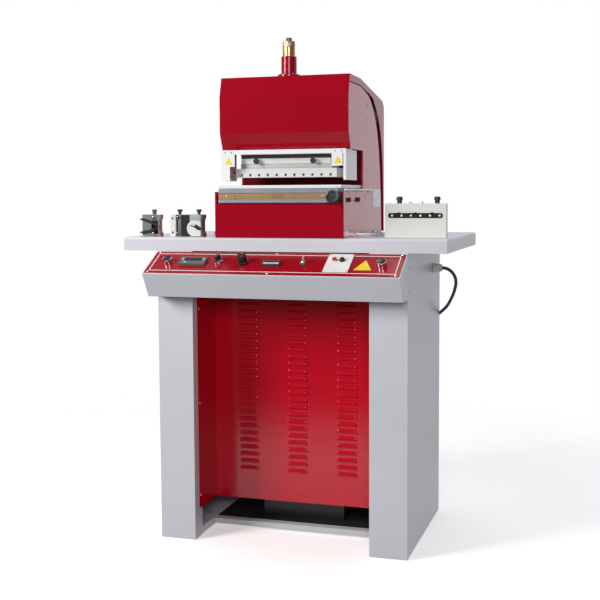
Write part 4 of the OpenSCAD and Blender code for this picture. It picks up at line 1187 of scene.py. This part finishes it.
plain_pieces()
make_recess()
make_pan_painted_shade()
make_head_painted_shade()
make_screws()
make_panel()
make_bezels()
make_start_button("start_button_left", -315)
make_start_button("start_button_right", 315)
make_selector()
make_dial()
make_toggle()
make_instruments()
make_switch_plate()
make_sleeve()
make_guard()
make_side_guide()
make_rating_plate()
make_type_plate()
make_head_knobs()
make_leads()
make_bed()
make_chase_holder()
make_jaw_holder()
make_round_holder()
make_gland()


# ---------------------------------------------------------------- studio

def make_floor():
    """A wide pale floor that thins out towards its rim."""
    bm = bmesh.new()
    rings = []
    for r in (0.4, 0.8, 1.2, 1.6, 2.0, 2.6, 3.4, 4.4, 5.6, 7.0):
        rings.append([bm.verts.new((r * math.cos(math.pi * k / 32),
                                    r * math.sin(math.pi * k / 32), 0)) for k in range(64)])
    bm.faces.new(rings[0])
    for a, b in zip(rings, rings[1:]):
        for k in range(64):
            j = (k + 1) % 64
            bm.faces.new((a[k], b[k], b[j], a[j]))
    mesh = bpy.data.meshes.new("studio_floor")
    bm.to_mesh(mesh)
    bm.free()
    mesh.materials.append(FLOOR)
    obj = bpy.data.objects.new("studio_floor", mesh)
    bpy.context.scene.collection.objects.link(obj)
    obj.visible_diffuse = False


def area_light(name, place, target, size, power, colour=(1, 1, 1)):
    data = bpy.data.lights.new(name, "AREA")
    data.shape = "RECTANGLE"
    data.size, data.size_y = size
    data.energy = power
    data.color = colour
    obj = bpy.data.objects.new(name, data)
    obj.location = place
    aim = Vector(target) - Vector(place)
    obj.rotation_euler = aim.to_track_quat("-Z", "Y").to_euler()
    bpy.context.scene.collection.objects.link(obj)


def make_world():
    """Bright behind the machine and above it, dim behind the camera."""
    world = bpy.data.worlds.new("studio")
    world.use_nodes = True
    tree = world.node_tree
    back = tree.nodes["Background"]
    coords = tree.nodes.new("ShaderNodeTexCoord")
    split = tree.nodes.new("ShaderNodeSeparateXYZ")
    tree.links.new(coords.outputs["Generated"], split.inputs["Vector"])
    span = tree.nodes.new("ShaderNodeMapRange")
    span.interpolation_type = "SMOOTHSTEP"
    for name, value in (("From Min", -0.15), ("From Max", 0.95),
                        ("To Min", 0.10), ("To Max", 0.95)):
        span.inputs[name].default_value = value
    tree.links.new(split.outputs["Y"], span.inputs["Value"])
    light = tree.nodes.new("ShaderNodeMixRGB")
    light.inputs["Color1"].default_value = (0, 0, 0, 1)
    light.inputs["Color2"].default_value = (0.95, 0.96, 1.0, 1)
    tree.links.new(span.outputs["Result"], light.inputs["Fac"])
    seen = tree.nodes.new("ShaderNodeLightPath")
    pick = tree.nodes.new("ShaderNodeMixRGB")
    pick.inputs["Color2"].default_value = (1, 1, 1, 1)
    tree.links.new(light.outputs["Color"], pick.inputs["Color1"])
    tree.links.new(seen.outputs["Is Camera Ray"], pick.inputs["Fac"])
    tree.links.new(pick.outputs["Color"], back.inputs["Color"])
    back.inputs["Strength"].default_value = 1.0
    bpy.context.scene.world = world


def make_studio():
    make_floor()
    make_world()
    area_light("key", (-2.6, -2.5, 2.15), (0, 0, 0.9), (1.3, 1.3), 125)
    area_light("front", (1.0, -3.3, 1.5), (0, 0, 0.7), (1.0, 1.0), 45)
    area_light("top", (0.2, 0.3, 3.3), (0, 0, 0.9), (2.6, 2.2), 24)
    bpy.context.scene.view_settings.view_transform = "Standard"
    bpy.context.scene.view_settings.look = "None"


make_studio()
